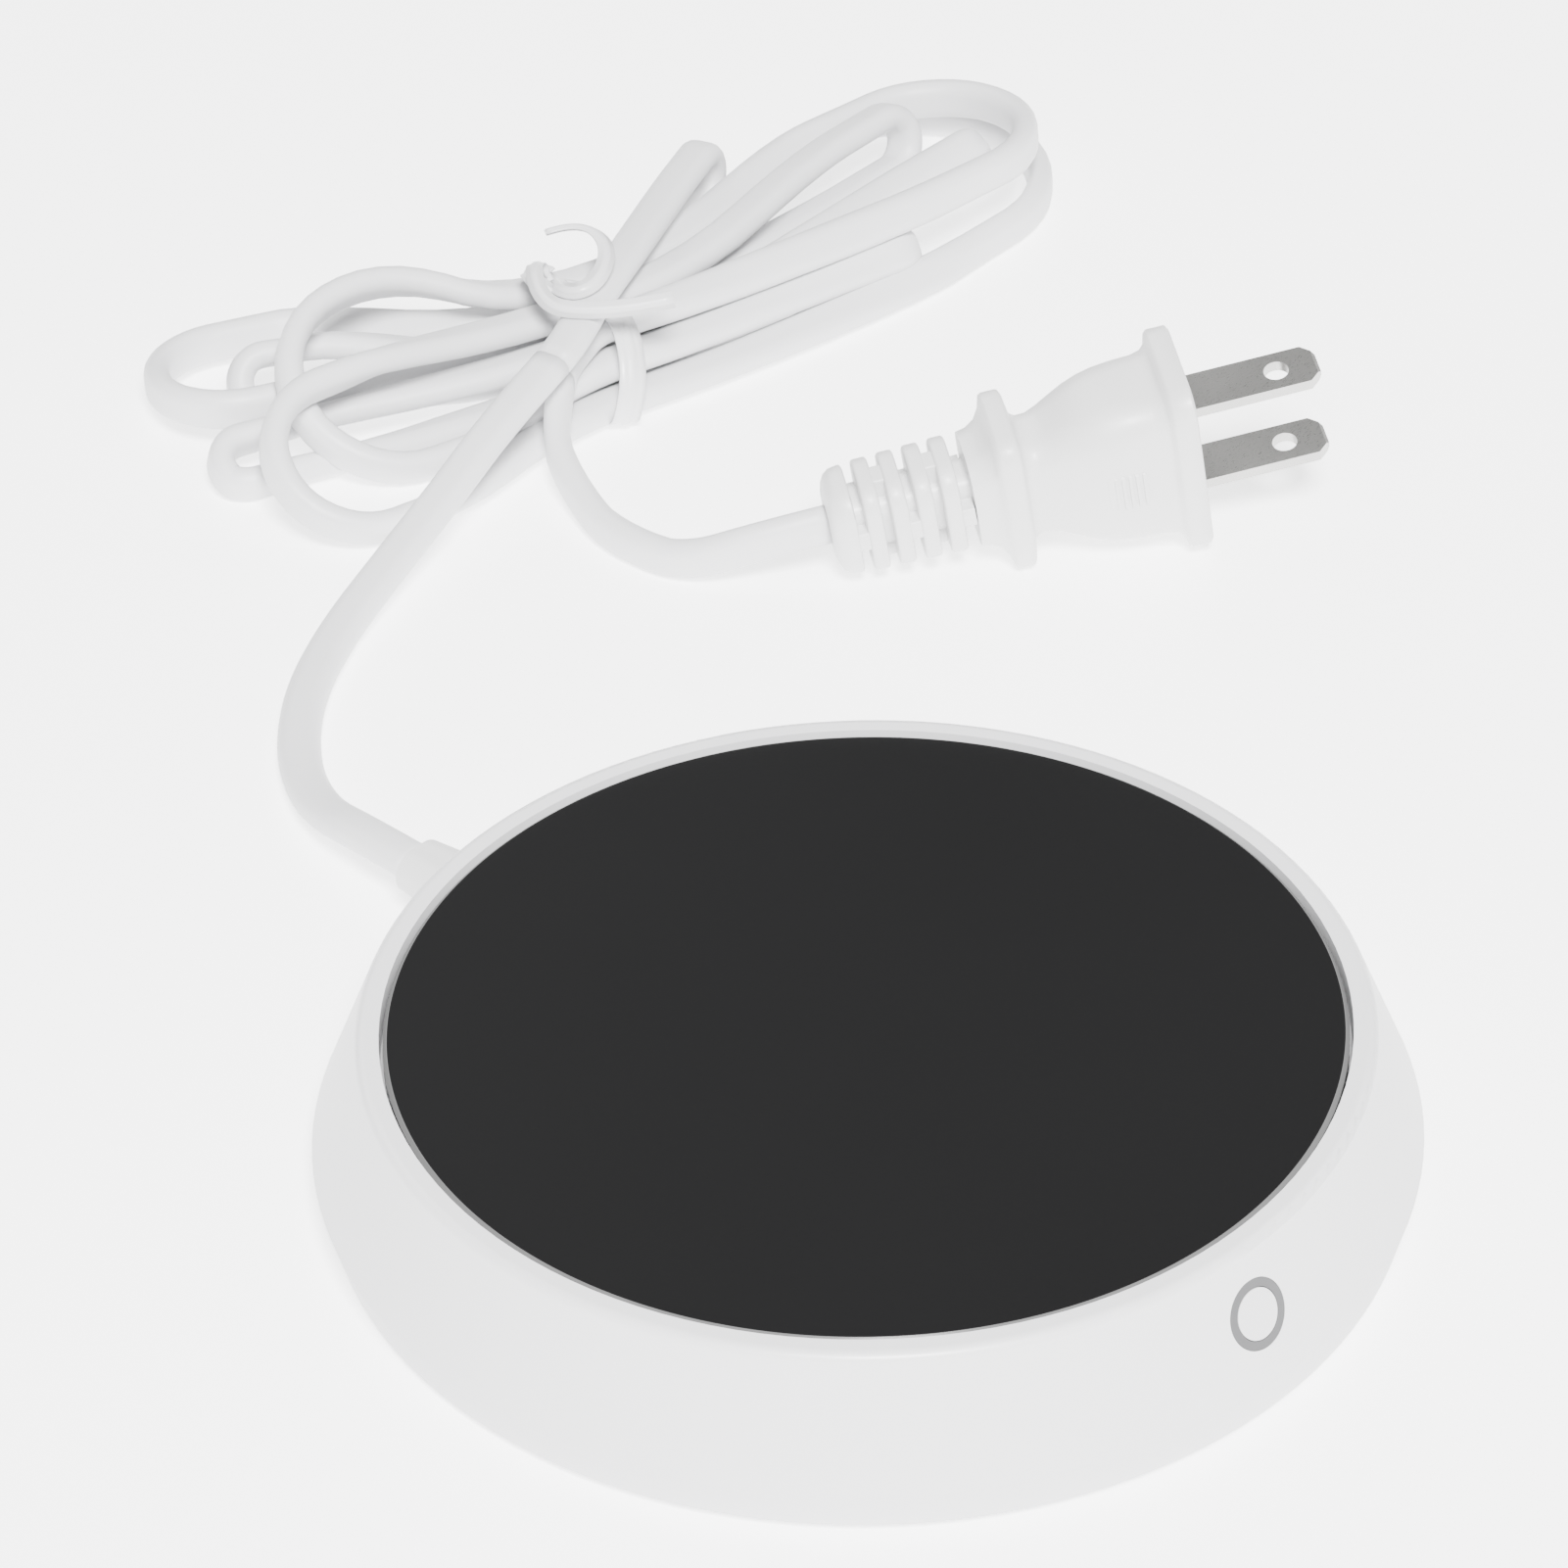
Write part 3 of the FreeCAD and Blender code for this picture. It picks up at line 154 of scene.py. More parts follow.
def spreadWays(line, marks):
    # the cord's broad way at each point, turned smoothly from mark to mark; a mark is a place and a broad way
    searchSpan = 90  # points along the line in which the next mark is looked for
    places = []
    lowest = 0
    for index, (place, wide) in enumerate(marks):
        if index == len(marks) - 1:
            near = len(line) - 1
        else:
            reach = range(lowest, min(len(line), lowest + searchSpan))
            near = min(reach, key=lambda i: (line[i] - place).length)
        lowest = max(lowest, near)
        places.append(lowest)
    broad = []
    sign = 1
    previous = marks[0][1]
    for (start, end), (first, second) in zip(zip(places, places[1:]), zip(marks, marks[1:])):
        a = first[1] * sign
        b = second[1]
        if a.dot(b) < 0:
            b = b * -1
        sign = 1 if b.dot(second[1]) > 0 else -1
        span = max(1, end - start)
        for i in range(start, end):
            t = (i - start) / span
            t = t * t * (3 - 2 * t)
            broad.append(a.lerp(b, t))
        previous = b
    while len(broad) < len(line):
        broad.append(previous)
    return broad


def roundedSection(width, thickness, steps=8):
    # a flat outline with half-round ends, as (broad, thin) pairs
    half = (width - thickness) / 2
    radius = thickness / 2
    outline = []
    for side in (1, -1):
        for i in range(steps + 1):
            angle = math.pi * i / steps - math.pi / 2
            outline.append((side * (half + radius * math.cos(angle)), side * radius * math.sin(angle)))
    return outline


def sweep(name, line, broad, section):
    # the section carried along the line, its broad way kept square to it
    points = []
    for place, way, aim in zip(line, tangents(line), broad):
        wide = aim - way * aim.dot(way)
        wide.normalize()
        thin = way.cross(wide)
        for b, t in section:
            points.append(place + wide * b + thin * t)
    return addMesh(name, points, ringFaces(len(line), len(section)))


# the mains lead: a flat cord, its stretch from the housing, its hank and its tail to the plug

cord = {
    "width": 5.4 * mm,
    "thickness": 3.45 * mm,
    "floorGap": 0.08 * mm,
    "leadLength": 0.1108,
    "hankLength": 1.3827,
    "tailLength": 0.0589,
    # from the housing's strain relief to the hank
    "leadRoute": [
        (-3.760, 71.752, 6.4), (-4.231, 80.740, 6.4), (-2.6, 91.5, 3.6), (3.0, 102.0, 2.35),
        (12.3, 111.6, 2.35), (24.2, 118.8, 2.6), (36.8, 122.8, 4.9), (49.2, 125.9, 8.0), (61.2, 128.9, 11.8),
    ],
    # between the hank and the plug, with the straight length left at each end
    "tailRoute": [(65.6, 120.4, 4.1), (62.6, 109.5, 2.3), (64.4, 98.6, 2.7)],
    "tailStraight": (9.0, 8.6),
}
hank = {
    "centre": (88.0, 139.7, 0.0),
    "angle": -13.0,
    "pitch": 5.5,
    "rows": {"a": 2.6, "b": 6.7, "c": 10.8},
    "places": {
        "a1": -1.5, "a2": -0.5, "a3": 0.5, "a4": 1.5,
        "b1": -1.0, "b2": 0.0, "b3": 1.0, "b4": 2.0,
        "c1": -0.5, "c2": 0.5, "c3": 1.5,
    },
    # place before and after, centre from the tie, way out, radius, lean of the half turn
    "turns": [
        ("d", "b4", (31.8, 14.1, 11.4), 24, 3.8, 91),
        ("b4", "b3", (-36.5, 30.4, 5.1), 155, 10.3, -7),
        ("b3", "c2", (60.9, 7.2, 7.5), 4, 3.8, -106),
        ("c2", "a1", (-41.0, 0.8, 8.5), 171, 10.9, 31),
        ("a1", "a4", (61.5, 2.8, 2.8), 3, 17.6, 180),
        ("a4", "a3", (-34.9, 25.7, 5.2), 151, 3.7, 52),
        ("a3", "b2", (66.1, -0.6, 5.2), 2, 3.8, -58),
        ("b2", "a2", (-47.6, 14.8, 3.6), 163, 3.7, 26),
        ("a2", "b1", (43.0, -9.6, 4.5), -10, 3.9, -35),
        ("b1", "c3", (-26.6, 10.2, 9.2), 170, 13.7, 210),
        ("c3", "c1", (62.2, -0.1, 10.4), -3, 13.1, -6),
    ],
    # the first strand lies over the tie: place from the tie's centre, angle, rise, angle of the broad way
    "over": [((-15, -8.2, 14.2), 14, 0.2, 104), ((1.5, -0.5, 15.4), 25, 0.0, 115)],
    # where the last strand leaves towards the plug, and its way there
    "leaves": ((-12, -6.5, 9.0), (-0.75, -0.6, -0.28)),
}
centre = Vector(hank["centre"])


def flatWay(angle):
    return Vector((math.cos(math.radians(angle)), math.sin(math.radians(angle)), 0))


hankWay = flatWay(hank["angle"])
hankSide = flatWay(hank["angle"] + 90)


def atTie(place):
    across = hank["places"][place] * hank["pitch"]
    return centre + hankSide * across + upward * hank["rows"][place[0]]


def hankStops():
    # where the cord goes, which way it runs there, and its broad way
    stops = []
    for offset, angle, rise, broadAngle in hank["over"]:
        way = (flatWay(angle) + upward * rise).normalized()
        stops.append((centre + Vector(offset), way, flatWay(broadAngle)))
    for _, second, offset, angle, radius, tilt in hank["turns"]:
        way = flatWay(angle)
        hand = 1 if way.x > 0 else -1
        lean = Vector((-way.y, way.x, 0)) * (hand * math.cos(math.radians(tilt)))
        lean += upward * math.sin(math.radians(tilt))
        broad = way.cross(lean)
        middle = centre + Vector(offset)
        stops.append((middle + lean * radius, way, broad))
        stops.append((middle + way * radius, lean * -1, broad))
        stops.append((middle - lean * radius, way * -1, broad))
        stops.append((atTie(second), hankWay * -hand, hankSide))
    offset, way = hank["leaves"]
    stops.append((centre + Vector(offset), Vector(way).normalized(), upward))
    return stops


def tangentReach(p0, t0, p1, t1):
    # how far along both ways the corner points lie, so that an arc leads into an arc
    chord = p1 - p0
    both = t0 + t1
    spread = 2 * (1 - t0.dot(t1))
    if spread < 1e-9:
        return chord.dot(chord) / (4 * chord.dot(t1))
    return (math.sqrt(chord.dot(both) ** 2 + spread * chord.dot(chord)) - chord.dot(both)) / spread


def hankPoints(stops):
    # control points before and after each stop, with one more where the two reaches differ much
    reaches = [tangentReach(a[0], a[1], b[0], b[1]) for a, b in zip(stops, stops[1:])]
    points = [stops[0][0], stops[0][0] + stops[0][1] * reaches[0]]
    for (place, way, _), before, after in zip(stops[1:-1], reaches, reaches[1:]):
        points.append(place - way * before)
        if before > 2 * after:
            points.append(place - way * after)
        if after > 2 * before:
            points.append(place + way * before)
        points.append(place + way * after)
    points += [stops[-1][0] - stops[-1][1] * reaches[-1], stops[-1][0]]
    return points


def restOnFloor(line, broad):
    # lifts what would dip below the floor, as the cord is deeper where it lies on edge
    thick = cord["thickness"] / 2
    for i, (place, wide) in enumerate(zip(line, broad)):
        depth = thick + abs(wide.normalized().z) * (cord["width"] / 2 - thick)
        place.z = max(place.z, depth + cord["floorGap"])


def addFlatCord(name, points, marks, fineness):
    line = readSpline([p * mm for p in points], fineness)
    broad = spreadWays(line, [(place * mm, wide) for place, wide in marks])
    restOnFloor(line, broad)
    piece = sweep(name, line, broad, roundedSection(cord["width"], cord["thickness"]))
    print(name, "spline length", round(pathLength(line), 4), "points", len(line))
    return piece, line


stops = hankStops()
hankPiece, hankLine = addFlatCord("mains-lead-hank", hankPoints(stops), [(s[0], s[2]) for s in stops], 5)

leadPoints = [Vector(p) for p in cord["leadRoute"]] + [stops[0][0]]
leadMarks = [(leadPoints[0], Vector((1, 0, 0)))]
for before, place, after in zip(leadPoints, leadPoints[1:], leadPoints[2:]):
    leadMarks.append((place, upward.cross(after - before).normalized()))
leadMarks.append((stops[0][0], stops[0][2]))
leadPiece, leadLine = addFlatCord("mains-lead-free", leadPoints, leadMarks, 10)

plug = {
    "front": (117.0, 60.1, 15.35),
    "way": (0.8205, -0.5507, 0.153),
    "spread": (-0.2546, -0.0282, 0.966),
    "length": 47.2,
    "sharpAngle": 50,
    # distance behind the front face, height, width, corner rounding of each outline
    "outlines": [
        (0.0, 25.8, 16.4, 3.2), (0.35, 26.6, 17.2, 3.4), (2.7, 26.6, 17.2, 3.4), (3.1, 26.1, 16.8, 3.6),
        (3.4, 24.2, 15.6, 4.0), (4.0, 23.2, 15.1, 4.2), (5.4, 22.7, 14.9, 4.4), (8.0, 22.8, 15.1, 4.8),
        (10.6, 22.7, 15.0, 5.2), (12.6, 22.0, 14.5, 5.2), (14.6, 20.6, 13.7, 5.0), (16.6, 18.6, 12.6, 4.6),
        (18.4, 16.6, 11.6, 4.2), (19.9, 15.2, 10.9, 3.8), (21.2, 15.0, 10.8, 3.6), (21.9, 15.8, 11.2, 3.6),
        (22.2, 18.4, 12.2, 3.4), (22.4, 20.8, 13.2, 3.2), (22.7, 21.8, 13.7, 3.0), (23.1, 22.0, 13.8, 3.0),
        (24.8, 22.0, 13.8, 3.0), (25.2, 21.6, 13.6, 3.0), (25.6, 18.8, 12.6, 3.4), (26.4, 16.4, 11.6, 3.6),
        (27.6, 14.9, 11.1, 3.7), (28.9, 14.4, 10.9, 3.7),
    ],
    # raised grip lines: the flank's half width, and how fast it narrows behind each distance
    "grip": {
        "first": 7.6, "pitch": 0.9, "count": 9,
        "halfHeight": 3.1, "halfThickness": 0.2, "sunk": 0.5, "depth": 0.22, "draft": 0.86,
        "fullHalf": 7.55, "flankHalf": 7.5, "narrowing": ((10.6, 0.24), (12.6, 0.16)),
    },
    # flexible relief: plates with a slot between each two, on a thinner core
    "relief": {
        "first": 29.4, "pitch": 3.35, "slot": 1.2, "count": 5, "front": (14.4, 10.9), "rearHeight": 13.6,
        "rounding": 3.6,
        # distance in from the plate's face, and how much smaller the plate is there
        "edge": ((0.0, 0.7), (0.15, 0.2), (0.4, 0.0)),
        "core": (8.0, 6.2), "coreRounding": 2.2, "coreFront": 28.0, "coreShort": 1.0,
        "web": 3.0, "webRounding": 0.3, "webOverlap": 0.3, "webInset": 0.5, "webFade": 0.011,
        # distance behind the last slot, height, width, corner rounding of the rear block
        "end": [
            (0.0, 13.0, 9.7, 3.4), (0.2, 13.6, 10.2, 3.5), (0.5, 13.7, 10.3, 3.6), (1.7, 13.5, 10.2, 3.8),
            (2.5, 12.6, 9.6, 3.9), (2.95, 11.0, 8.6, 3.7),
        ],
        "mouth": (9.0, 7.4, 3.2),
    },
}
plugFront = Vector(plug["front"])
plugWay = Vector(plug["way"]).normalized()
plugSpread = Vector(plug["spread"])
plugSpread = (plugSpread - plugWay * plugSpread.dot(plugWay)).normalized()
plugSide = plugSpread.cross(plugWay)
plugMouth = plugFront - plugWay * plug["length"]
tailStart, tailWay, _ = stops[-1]
tailPoints = [tailStart, tailStart + tailWay * cord["tailStraight"][0]]
tailPoints += [Vector(p) for p in cord["tailRoute"]]
tailPoints += [plugMouth - plugWay * cord["tailStraight"][1], plugMouth]
tailMarks = [(tailStart, upward), (plugMouth, upward)]
tailPiece, tailLine = addFlatCord("mains-lead-tail", tailPoints, tailMarks, 10)
print("cords made")

# moulded plug: flange, bulb, rear flange and a slotted relief, as rounded outlines along its own line


def outlinePoints(height, width, rounding, back, steps=7):
    # a rounded rectangle square to the plug's line, its corners in even steps
    origin = plugFront - plugWay * back
    points = []
    for corner, (sideWay, upWay) in enumerate(((1, 1), (-1, 1), (-1, -1), (1, -1))):
        middle = (sideWay * (width / 2 - rounding), upWay * (height / 2 - rounding))
        for i in range(steps + 1):
            angle = math.radians(90 * corner + 90 * i / steps)
            across = middle[0] + rounding * math.cos(angle)
            up = middle[1] + rounding * math.sin(angle)
            points.append((origin + plugSide * across + plugSpread * up) * mm)
    return points


def loftRings(name, rings):
    points = [p for ring in rings for p in ring]
    return addMesh(name, points, ringFaces(len(rings), len(rings[0])))


def loftOutlines(name, outlines):
    rings = [outlinePoints(height, width, rounding, back) for back, height, width, rounding in outlines]
    return loftRings(name, rings)


def flankHalf(back):
    # half the bulb's width at a distance behind the front face
    grip = plug["grip"]
    if back < grip["narrowing"][0][0]:
        return grip["fullHalf"]
    return grip["flankHalf"] - sum(max(0, back - start) * rate for start, rate in grip["narrowing"])


def addGripLines():
    # raised lines on both flanks of the bulb
    grip = plug["grip"]
    points = []
    faces = []
    for side in (-1, 1):
        for i in range(grip["count"]):
            back = grip["first"] + grip["pitch"] * i
            half = flankHalf(back)
            start = len(points)
            for depth, spread in ((-grip["sunk"], 1.0), (grip["depth"], grip["draft"])):
                for x, z in ((-1, -1), (1, -1), (1, 1), (-1, 1)):
                    place = plugFront - plugWay * (back + x * grip["halfThickness"])
                    place += plugSide * (side * (half + depth))
                    place += plugSpread * (z * grip["halfHeight"] * spread)
                    points.append(place * mm)
            faces.append(tuple(range(start, start + 4)))
            faces.append(tuple(range(start + 4, start + 8)))
            for k in range(4):
                n = (k + 1) % 4
                faces.append((start + k, start + n, start + 4 + n, start + 4 + k))
    return addMesh("plug-grip-lines", points, faces, False)


def reliefTree():
    # repeats a plate along the plug's line, smaller towards the cord
    tree = bpy.data.node_groups.new("relief-plates", "GeometryNodeTree")
    face = tree.interface
    face.new_socket("Geometry", in_out="INPUT", socket_type="NodeSocketGeometry")
    count = face.new_socket("Plates", in_out="INPUT", socket_type="NodeSocketInt")
    step = face.new_socket("Step", in_out="INPUT", socket_type="NodeSocketVector")
    shrink = face.new_socket("Shrink", in_out="INPUT", socket_type="NodeSocketFloat")
    coat = face.new_socket("Finish", in_out="INPUT", socket_type="NodeSocketMaterial")
    face.new_socket("Geometry", in_out="OUTPUT", socket_type="NodeSocketGeometry")
    into = tree.nodes.new("NodeGroupInput")
    out = tree.nodes.new("NodeGroupOutput")
    line = tree.nodes.new("GeometryNodeMeshLine")
    onPoints = tree.nodes.new("GeometryNodeInstanceOnPoints")
    index = tree.nodes.new("GeometryNodeInputIndex")
    less = tree.nodes.new("ShaderNodeMath")
    less.operation = "MULTIPLY"
    size = tree.nodes.new("ShaderNodeMath")
    size.operation = "SUBTRACT"
    size.inputs[0].default_value = 1.0
    real = tree.nodes.new("GeometryNodeRealizeInstances")
    dress = tree.nodes.new("GeometryNodeSetMaterial")
    link = tree.links.new
    link(into.outputs["Plates"], line.inputs["Count"])
    link(into.outputs["Step"], line.inputs["Offset"])
    link(line.outputs["Mesh"], onPoints.inputs["Points"])
    link(into.outputs["Geometry"], onPoints.inputs["Instance"])
    link(index.outputs[0], less.inputs[0])
    link(into.outputs["Shrink"], less.inputs[1])
    link(less.outputs[0], size.inputs[1])
    link(size.outputs[0], onPoints.inputs["Scale"])
    link(onPoints.outputs["Instances"], real.inputs["Geometry"])
    link(real.outputs["Geometry"], dress.inputs["Geometry"])
    link(into.outputs["Finish"], dress.inputs["Material"])
    link(dress.outputs["Geometry"], out.inputs["Geometry"])
    return tree, {"count": count.identifier, "step": step.identifier, "shrink": shrink.identifier,
                  "finish": coat.identifier}


def addPlates(finish):
    # one plate about its own middle, then a run of them
    relief = plug["relief"]
    half = (relief["pitch"] - relief["slot"]) / 2
    height, width = relief["front"]
    profile = [(inset - half, less) for inset, less in relief["edge"]]
    profile += [(half - inset, less) for inset, less in reversed(relief["edge"])]
    rings = []
    for back, less in profile:
        ring = outlinePoints(height - less, width - less, relief["rounding"] - less / 2, back)
        rings.append([p - plugFront * mm for p in ring])
    base = loftRings("relief-plate-one", rings)
    tree, names = reliefTree()
    tool = base.modifiers.new("plates", "NODES")
    tool.node_group = tree
    tool[names["count"]] = relief["count"] - 1
    tool[names["step"]] = tuple(plugWay * (-relief["pitch"] * mm))
    tool[names["shrink"]] = (1 - relief["rearHeight"] / height) / relief["count"]
    tool[names["finish"]] = finish
    bpy.context.view_layer.update()
    mesh = bpy.data.meshes.new_from_object(base.evaluated_get(bpy.context.evaluated_depsgraph_get()))
    base.modifiers.clear()
    bpy.data.objects.remove(base)
    first = relief["first"] + relief["slot"] + half
    for v in mesh.vertices:
        v.co += (plugFront - plugWay * first) * mm
    run = linkPiece("plug-relief-plates", mesh)
    mesh.set_sharp_from_angle(angle=math.radians(plug["sharpAngle"]))
    return run


def addReliefCore():
    # the thinner core, and the webs that join each two plates by turns at the sides and at top and bottom
    relief = plug["relief"]
    coreEnds = (relief["coreFront"], plug["length"] - relief["coreShort"])
    core = loftOutlines("plug-relief-core", [
        (back, *relief["core"], relief["coreRounding"]) for back in coreEnds
    ])
    lastSlot = relief["first"] + relief["pitch"] * (relief["count"] - 1) + relief["slot"]
    block = [(lastSlot + back, *outline) for back, *outline in relief["end"]]
    end = loftOutlines("plug-relief-end", block + [(plug["length"], *relief["mouth"])])
    webs = []
    for i in range(relief["count"]):
        start = relief["first"] + relief["pitch"] * i - relief["webOverlap"]
        stop = start + relief["slot"] + 2 * relief["webOverlap"]
        fade = 1 - i * relief["webFade"]
        tall, wide = (size * fade - relief["webInset"] for size in relief["front"])
        outline = (relief["web"], wide) if i % 2 == 0 else (tall, relief["web"])
        webs.append(loftOutlines("relief-web-%d" % i, [
            (back, *outline, relief["webRounding"]) for back in (start, stop)
        ]))
    return [core, end] + webs


def joined(name, pieces):
    work = bmesh.new()
    for piece in pieces:
        work.from_mesh(piece.data)
        bpy.data.objects.remove(piece)
    mesh = bpy.data.meshes.new(name)
    work.to_mesh(mesh)
    work.free()
    return linkPiece(name, mesh)


plugHead = loftOutlines("plug-head", plug["outlines"])
plugGrip = addGripLines()
plugCore = joined("plug-relief", addReliefCore())
for piece in (plugHead, plugCore):
    piece.data.set_sharp_from_angle(angle=math.radians(plug["sharpAngle"]))
print("plug made")

# twist tie: a flat strip round the strands, twisted once, with two loose ends

tie = {
    "bandWidth": 3.8,
    "endWidth": 2.3,
    "thickness": 0.8,
    "wire": 0.55,
    "easing": 12,  # rounds that even out the strip's twist
    # what each strip wraps round, which its flat side faces
    "core": {"band": (0, 1, 7), "loop": (-5, 4, 12), "curl": (-1, 3, 8)},
    # along the hank, across it, height
    "band": [
        (1.0, 2.0, 13.0), (1.2, -3.6, 13.1), (0.6, -8.0, 11.6), (-1.0, -11.8, 8.0), (-2.6, -12.9, 3.6),
        (-2.8, -11.6, 0.9), (-1.8, -6.0, 0.65), (0.0, 4.0, 0.65), (0.8, 11.2, 0.9), (0.6, 14.0, 3.0),
        (-0.4, 15.6, 7.2), (-1.8, 13.6, 10.6), (-2.8, 10.0, 13.0), (-3.6, 7.0, 14.4),
    ],
    "loop": [
        (-3.6, 9.0, 13.6), (-5.6, 7.6, 15.6), (-6.8, 5.2, 17.2), (-7.4, 1.8, 17.6), (-6.0, 0.2, 16.2),
        (-4.2, 1.8, 14.6), (-3.2, 5.0, 14.4), (-4.2, 6.8, 16.8), (-6.4, 4.6, 18.4), (-8.6, -0.6, 18.2),
        (-8.9, -4.6, 18.0), (-7.0, -7.2, 18.0), (-3.4, -9.8, 18.3), (0.4, -12.0, 18.7), (4.2, -13.8, 19.4),
    ],
    "curl": [
        (1.0, 2.4, 13.3), (-1.6, 3.6, 14.6), (-4.0, 3.2, 16.0), (-5.4, -0.4, 17.2), (-4.6, -3.6, 18.0),
        (-1.8, -3.8, 18.6), (1.4, -1.2, 19.2), (3.4, 2.2, 19.8), (3.2, 5.8, 20.2), (0.8, 8.2, 20.2),
        (-2.0, 8.8, 19.8),
    ],
}


def byTie(place):
    along, across, height = place
    return (centre + hankWay * along + hankSide * across + upward * height) * mm


def stripSection(width):
    # a thin strip with a rounded rib along its middle: half of one side, then its mirror images
    half = width / 2
    thin = tie["thickness"] / 2
    rib = tie["wire"] / 2 + thin * 0.4
    quarter = [(half, thin * 0.35), (half * 0.5, thin * 0.45), (rib * 1.3, thin * 0.6), (rib * 0.7, rib)]
    outline = [(-b, -t) for b, t in quarter] + [(b, -t) for b, t in reversed(quarter)]
    outline += [(-b, -t) for b, t in outline]
    return [(b * mm, t * mm) for b, t in outline]


def addStrip(part, width):
    line = readSpline([byTie(p) for p in tie[part]], 6)
    core = byTie(tie["core"][part])
    broad = [way.cross(place - core).normalized() for place, way in zip(line, tangents(line))]
    for i in range(1, len(broad)):
        if broad[i].dot(broad[i - 1]) < 0:
            broad[i] = broad[i] * -1
    for _ in range(tie["easing"]):
        inner = [(a + b * 2 + c).normalized() for a, b, c in zip(broad, broad[1:], broad[2:])]
        broad = [broad[0]] + inner + [broad[-1]]
    return sweep("twist-tie-" + part, line, broad, stripSection(width))


tieBand = addStrip("band", tie["bandWidth"])
tieLoop = addStrip("loop", tie["endWidth"])
tieCurl = addStrip("curl", tie["endWidth"])
print("twist tie made")

# finishes


class Value:
    # a shader socket that works in sums
    def __init__(self, tree, socket):
        self.tree = tree
        self.socket = socket

    def sum(self, operation, other, swapped=False):
        node = self.tree.nodes.new("ShaderNodeMath")
        node.operation = operation
        pair = (other, self) if swapped else (self, other)
        for slot, item in zip(node.inputs, pair):
            if isinstance(item, Value):
                self.tree.links.new(item.socket, slot)
            else:
                slot.default_value = item
        return Value(self.tree, node.outputs[0])

    def __add__(self, other):
        return self.sum("ADD", other)

    def __radd__(self, other):
        return self.sum("ADD", other, True)

    def __sub__(self, other):
        return self.sum("SUBTRACT", other)

    def __rsub__(self, other):
        return self.sum("SUBTRACT", other, True)

    def __mul__(self, other):
        return self.sum("MULTIPLY", other)

    def __rmul__(self, other):
        return self.sum("MULTIPLY", other, True)

    def above(self, limit):
        return self.sum("GREATER_THAN", limit)


class Finish:
    def __init__(self, name):
        self.material = bpy.data.materials.new(name)
        self.material.use_nodes = True
        self.tree = self.material.node_tree
        self.tree.nodes.clear()

    def make(self, kind, settings=None, inputs=None, output=0):
        node = self.tree.nodes.new("ShaderNode" + kind)
        for key, value in (settings or {}).items():
            if key == "stops":
                ramp = node.color_ramp.elements
                while len(ramp) < len(value):
                    ramp.new(0.5)
                for stop, (position, colour) in zip(ramp, value):
                    stop.position = position
                    stop.color = colour
            else:
                setattr(node, key, value)
        for key, value in (inputs or {}).items():
            if isinstance(value, Value):
                self.tree.links.new(value.socket, node.inputs[key])
            else:
                node.inputs[key].default_value = value
        return Value(self.tree, node.outputs[output])

    def mixed(self, fraction, first, second):
        return self.make("Mix", {"data_type": "RGBA"}, {0: fraction, 6: first, 7: second}, 2)

    def noise(self, place, scale, detail=2.0, rough=0.5):
        return self.make("TexNoise", {"noise_dimensions": "3D"},
                         {"Vector": place, "Scale": scale, "Detail": detail, "Roughness": rough}, "Fac")

    def bump(self, height, strength, distance):
        return self.make("Bump", {}, {"Height": height, "Strength": strength, "Distance": distance}, "Normal")

    def close(self, **inputs):
        surface = self.make("BsdfPrincipled", {}, {k.replace("_", " "): v for k, v in inputs.items()}, "BSDF")
        out = self.tree.nodes.new("ShaderNodeOutputMaterial")
        self.tree.links.new(surface.socket, out.inputs["Surface"])
        return self.material


def tint(colour, scale=1.0):
    return tuple(min(1.0, c * scale) for c in colour) + (1.0,)


def moulded(name, colour, roughness=0.4, grain=1800.0, depth=0.25, spread=0.03, coat=0.0, sheen=0.0):
    # plastic or rubber with a fine moulded grain and faint uneven tone
    finish = Finish(name)
    place = finish.make("TexCoord", {}, {}, "Object")
    cloud = finish.noise(place, 45.0, 3.0)
    speck = finish.noise(place, grain, 2.0, 0.6)
    tone = cloud * 0.7 + speck * 0.3
    return finish.close(
        Base_Color=finish.mixed(tone, tint(colour, 1 - spread), tint(colour, 1 + spread)),
        Roughness=roughness + (speck - 0.5) * 0.12 + (cloud - 0.5) * 0.08,
        Coat_Weight=coat, Coat_Roughness=0.15, Sheen_Weight=sheen,
        Normal=finish.bump(speck, depth, 0.00012),
    )


def metal(name, colour, roughness=0.3, streak=(1.0, 1.0, 1.0), grain=900.0, depth=0.2):
    # drawn or brushed metal: the grain is stretched along one way
    finish = Finish(name)
    place = finish.make("TexCoord", {}, {}, "Object")
    stretched = finish.make("Mapping", {}, {"Vector": place, "Scale": streak}, "Vector")
    line = finish.noise(stretched, grain, 4.0, 0.7)
    cloud = finish.noise(place, 120.0, 2.0)
    return finish.close(
        Base_Color=finish.mixed(cloud, tint(colour, 0.9), tint(colour, 1.06)),
        Metallic=1.0,
        Roughness=roughness + (line - 0.5) * 0.25,
        Normal=finish.bump(line, depth, 0.00005),
    )


def felted(name, colour):
    finish = Finish(name)
    place = finish.make("TexCoord", {}, {}, "Object")
    fibre = finish.noise(place, 1400.0, 6.0, 0.8)
    clump = finish.make("TexVoronoi", {"feature": "F1"}, {"Vector": place, "Scale": 500.0}, "Distance")
    tone = fibre * 0.8 + clump * 0.3
    return finish.close(
        Base_Color=finish.mixed(tone, tint(colour, 0.75), tint(colour, 1.1)),
        Roughness=0.95, Sheen_Weight=0.3,
        Normal=finish.bump(tone, 0.6, 0.0004),
    )


